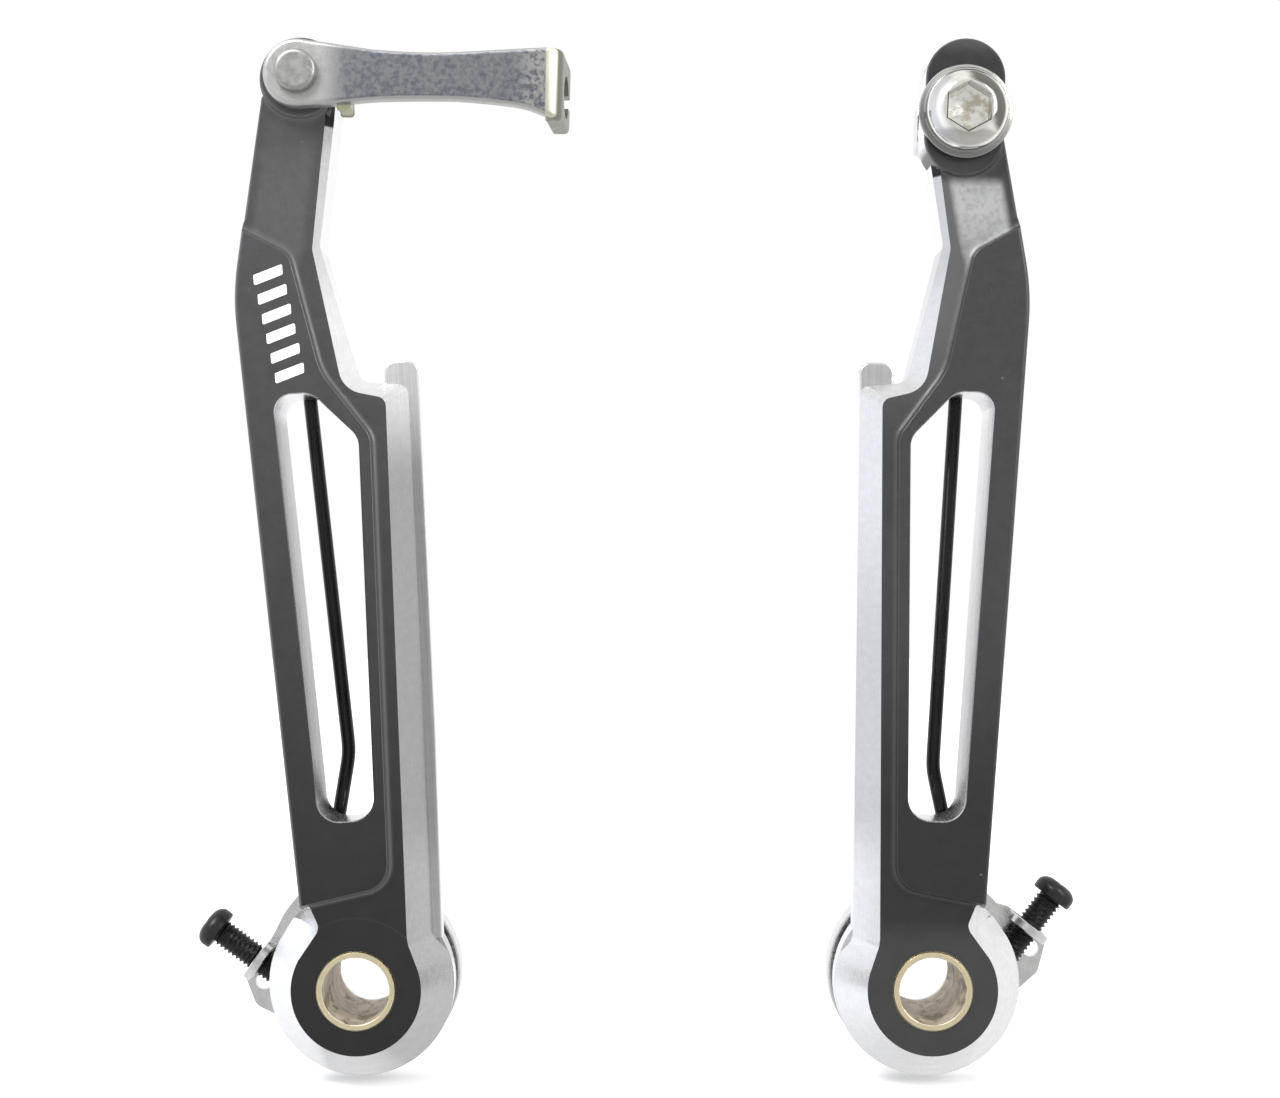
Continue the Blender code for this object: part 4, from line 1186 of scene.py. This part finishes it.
def add_anchor():
    here = frame_of("right", None, (0, 0, BOLT_W))
    washer = [(3.05, -19.0), (3.15, -19.1), (4.75, -19.1), (4.98, -19.05), (5.1, -18.9),
              (5.08, -18.72), (4.98, -18.66), (4.98, -18.60), (5.2, -18.56), (5.48, -18.50),
              (5.6, -18.36), (5.6, -17.9), (5.5, -17.75), (3.05, -17.75)]
    obj = plain("clamp_washer", lambda m: lathe(m, washer, 120), "right")
    place(obj, here, "anchor_washer", "anchor_washer", slot="chromed", material=CHROME)
    shade(obj, 35)
    bolt = [(2.75, -20.95), (3.0, -20.93), (3.25, -20.84), (3.6, -20.62), (3.95, -20.33),
            (4.3, -19.98), (4.58, -19.64), (4.74, -19.4), (4.8, -19.22), (4.7, -19.14), (2.95, -19.14),
            (2.95, -3.6), (2.7, -3.2), (2.35, -3.0)]
    obj = joined("clamp_bolt", mesh_from("bolt", lambda m: turned(m, bolt, 108), "right"), [
        ("DIFFERENCE", mesh_from("socket", lambda m: loft(m, [
            [(u * g, y, w * g) for u, w in hexagon(5.0)]
            for g, y in ((1.06, -30), (1.06, -20.98), (1.0, -20.84), (1.0, -19.4), (0.15, -18.9))
        ]), "right")),
    ])
    place(obj, here, "anchor_bolt", "anchor_bolt", slot="chromed", material=CHROME)
    shade(obj, 28)

    def six_sided(made):
        prism(made, hexagon(9.0), (-8.8, -5.4))

    def cone(made):
        turned(made, [(4.5, -9.0), (4.75, -8.79), (5.35, -8.35), (5.35, -5.85), (4.75, -5.41),
                      (4.5, -5.2)], 72)

    obj = joined("clamp_nut", mesh_from("nut", six_sided, "right"), [
        ("INTERSECT", mesh_from("cone", cone, "right")),
        ("DIFFERENCE", mesh_from("bore", lambda m: turned(
            m, [(3.5, -12), (3.5, -8.8), (3.05, -8.4), (3.05, -5.8), (3.5, -5.4), (3.5, 0)], 60),
            "right")),
    ])
    place(obj, here, "right_arm", "anchor_nut", slot="chromed", material=ZINC)
    shade(obj, 30)


# ---------------------------------------------------------------- printed graphic

def add_graphic():
    """Six plain slanted bars on the left arm's panel."""
    def build(made):
        for i in range(6):
            share = i / 5
            middle_u, middle_w = -4.35 + 1.75 * share, 86.4 - 11.9 * share
            long, wide, slant = 1.75, 0.62, 0.55
            corners = [(-long, -wide - slant, 0.18), (long, -wide + slant, 0.18),
                       (long, wide + slant, 0.18), (-long, wide - slant, 0.18)]
            outline = [(middle_u + x, middle_w + z) for x, z in rounded(corners)]
            prism(made, outline, (PANEL_Y - 0.012, PANEL_Y + 0.02))

    obj = plain("panel_bars", build)
    place(obj, frame_of("left"), "left_arm", slot="anodised", material=PRINTED)
    return obj


for each_side in SIDES:
    build_arm(each_side)
    add_pivot_pieces(each_side)
    add_spring(each_side)
    add_seat(each_side)
    add_screw(each_side)
add_link()
add_anchor()
add_graphic()


# ---------------------------------------------------------------- studio

def stage_object(name, mesh):
    obj = bpy.data.objects.new(name, mesh)
    bpy.context.scene.collection.objects.link(obj)
    return obj


def studio():
    scene = bpy.context.scene
    scene.view_settings.view_transform = "Standard"
    world = bpy.data.worlds.new("studio")
    scene.world = world
    world.use_nodes = True
    tree = world.node_tree
    background = tree.nodes["Background"]
    direction = tree.nodes.new("ShaderNodeTexCoord").outputs["Generated"]
    split = tree.nodes.new("ShaderNodeSeparateXYZ")
    tree.links.new(direction, split.inputs[0])
    # Light from each of the six sides, blended by the squares of the direction.
    walls = [
        (0, 1, (0.97, 0.97, 0.96)), (0, -1, (1.22, 1.26, 1.34)),
        (1, 1, (1.12, 1.12, 1.14)), (1, -1, (0.62, 0.62, 0.62)),
        (2, 1, (0.96, 0.96, 0.95)), (2, -1, (0.80, 0.80, 0.80)),
    ]
    total = None
    for axis, sign, colour in walls:
        part = tree.nodes.new("ShaderNodeMath")
        part.operation = "MULTIPLY"
        tree.links.new(split.outputs[axis], part.inputs[0])
        part.inputs[1].default_value = sign
        floor = tree.nodes.new("ShaderNodeMath")
        floor.operation = "MAXIMUM"
        tree.links.new(part.outputs[0], floor.inputs[0])
        floor.inputs[1].default_value = 0.0
        square = tree.nodes.new("ShaderNodeMath")
        square.operation = "POWER"
        tree.links.new(floor.outputs[0], square.inputs[0])
        square.inputs[1].default_value = 2.0
        add = tree.nodes.new("ShaderNodeVectorMath")
        add.operation = "MULTIPLY_ADD"
        add.inputs[0].default_value = colour
        tree.links.new(square.outputs[0], add.inputs[1])
        if total is None:
            add.inputs[2].default_value = (0, 0, 0)
        else:
            tree.links.new(total, add.inputs[2])
        total = add.outputs[0]
    seen = tree.nodes.new("ShaderNodeLightPath").outputs["Is Camera Ray"]
    mix = tree.nodes.new("ShaderNodeMix")
    mix.data_type = "RGBA"
    tree.links.new(seen, mix.inputs["Factor"])
    tree.links.new(total, mix.inputs[6])
    mix.inputs[7].default_value = (1, 1, 1, 1)
    tree.links.new(mix.outputs[2], background.inputs["Color"])

    low, high = CAD_BOX
    made = bmesh.new()
    bmesh.ops.create_circle(made, cap_ends=True, radius=1.6, segments=96)
    mesh = bpy.data.meshes.new("floor")
    made.to_mesh(mesh)
    made.free()
    ground = stage_object("floor", mesh)
    ground.location = (0, 0, low.z - 0.4 * MM)
    paper = Look("paper", Roughness=0.9)
    paper.set("Base_Color", (0.92, 0.92, 0.92))
    paper.set("Emission_Color", (1.0, 1.0, 1.0))
    paper.set("Emission_Strength", 0.30)
    # Reflections look past the floor to the studio's own light.
    output = next(n for n in paper.tree.nodes if n.type == "OUTPUT_MATERIAL")
    blend = paper.node("ShaderNodeMixShader")
    paper.join(blend.inputs[0], paper.node("ShaderNodeLightPath").outputs["Is Glossy Ray"])
    paper.join(blend.inputs[1], paper.shader.outputs[0])
    paper.join(blend.inputs[2], paper.node("ShaderNodeBsdfTransparent").outputs[0])
    paper.join(output.inputs["Surface"], blend.outputs[0])
    ground.data.materials.append(paper.material)

    def lamp(name, at, size, power, colour=(1, 1, 1)):
        light = bpy.data.lights.new(name, "AREA")
        light.shape, light.size, light.size_y = "RECTANGLE", *size
        light.energy, light.color = power, colour
        obj = bpy.data.objects.new(name, light)
        scene.collection.objects.link(obj)
        obj.location = at
        obj.rotation_euler = (-Vector(at)).to_track_quat("-Z", "Y").to_euler()

    lamp("key", (-0.45, -0.55, 0.75), (0.5, 0.4), 9.0, (0.97, 0.98, 1.0))
    lamp("fill", (0.6, -0.5, 0.35), (0.4, 0.5), 3.0)


CAMERA_BACK = 240.0  # millimetres from the arms' front faces
VIEW_WIDTH = 153.6  # of the arms' front plane, across the picture
VIEW_CENTRE = (34.128, 53.10)  # right of the left pivot and above it
EYE_HEIGHT = 47.94


def camera():
    lens = bpy.data.cameras.new("camera")
    obj = bpy.data.objects.new("camera", lens)
    bpy.context.scene.collection.objects.link(obj)
    bpy.context.scene.camera = obj
    face = SEAT_BACK + FACE_Y * MM
    pivot = PIVOT["left"]
    obj.location = (
        pivot.x + VIEW_CENTRE[0] * MM, face - CAMERA_BACK * MM, pivot.z + EYE_HEIGHT * MM,
    )
    obj.rotation_euler = (math.pi / 2, 0, 0)
    lens.sensor_width = 36.0
    lens.lens = lens.sensor_width * CAMERA_BACK / VIEW_WIDTH
    lens.shift_y = (VIEW_CENTRE[1] - EYE_HEIGHT) / VIEW_WIDTH
    lens.clip_start, lens.clip_end = 0.01, 10.0


studio()
camera()
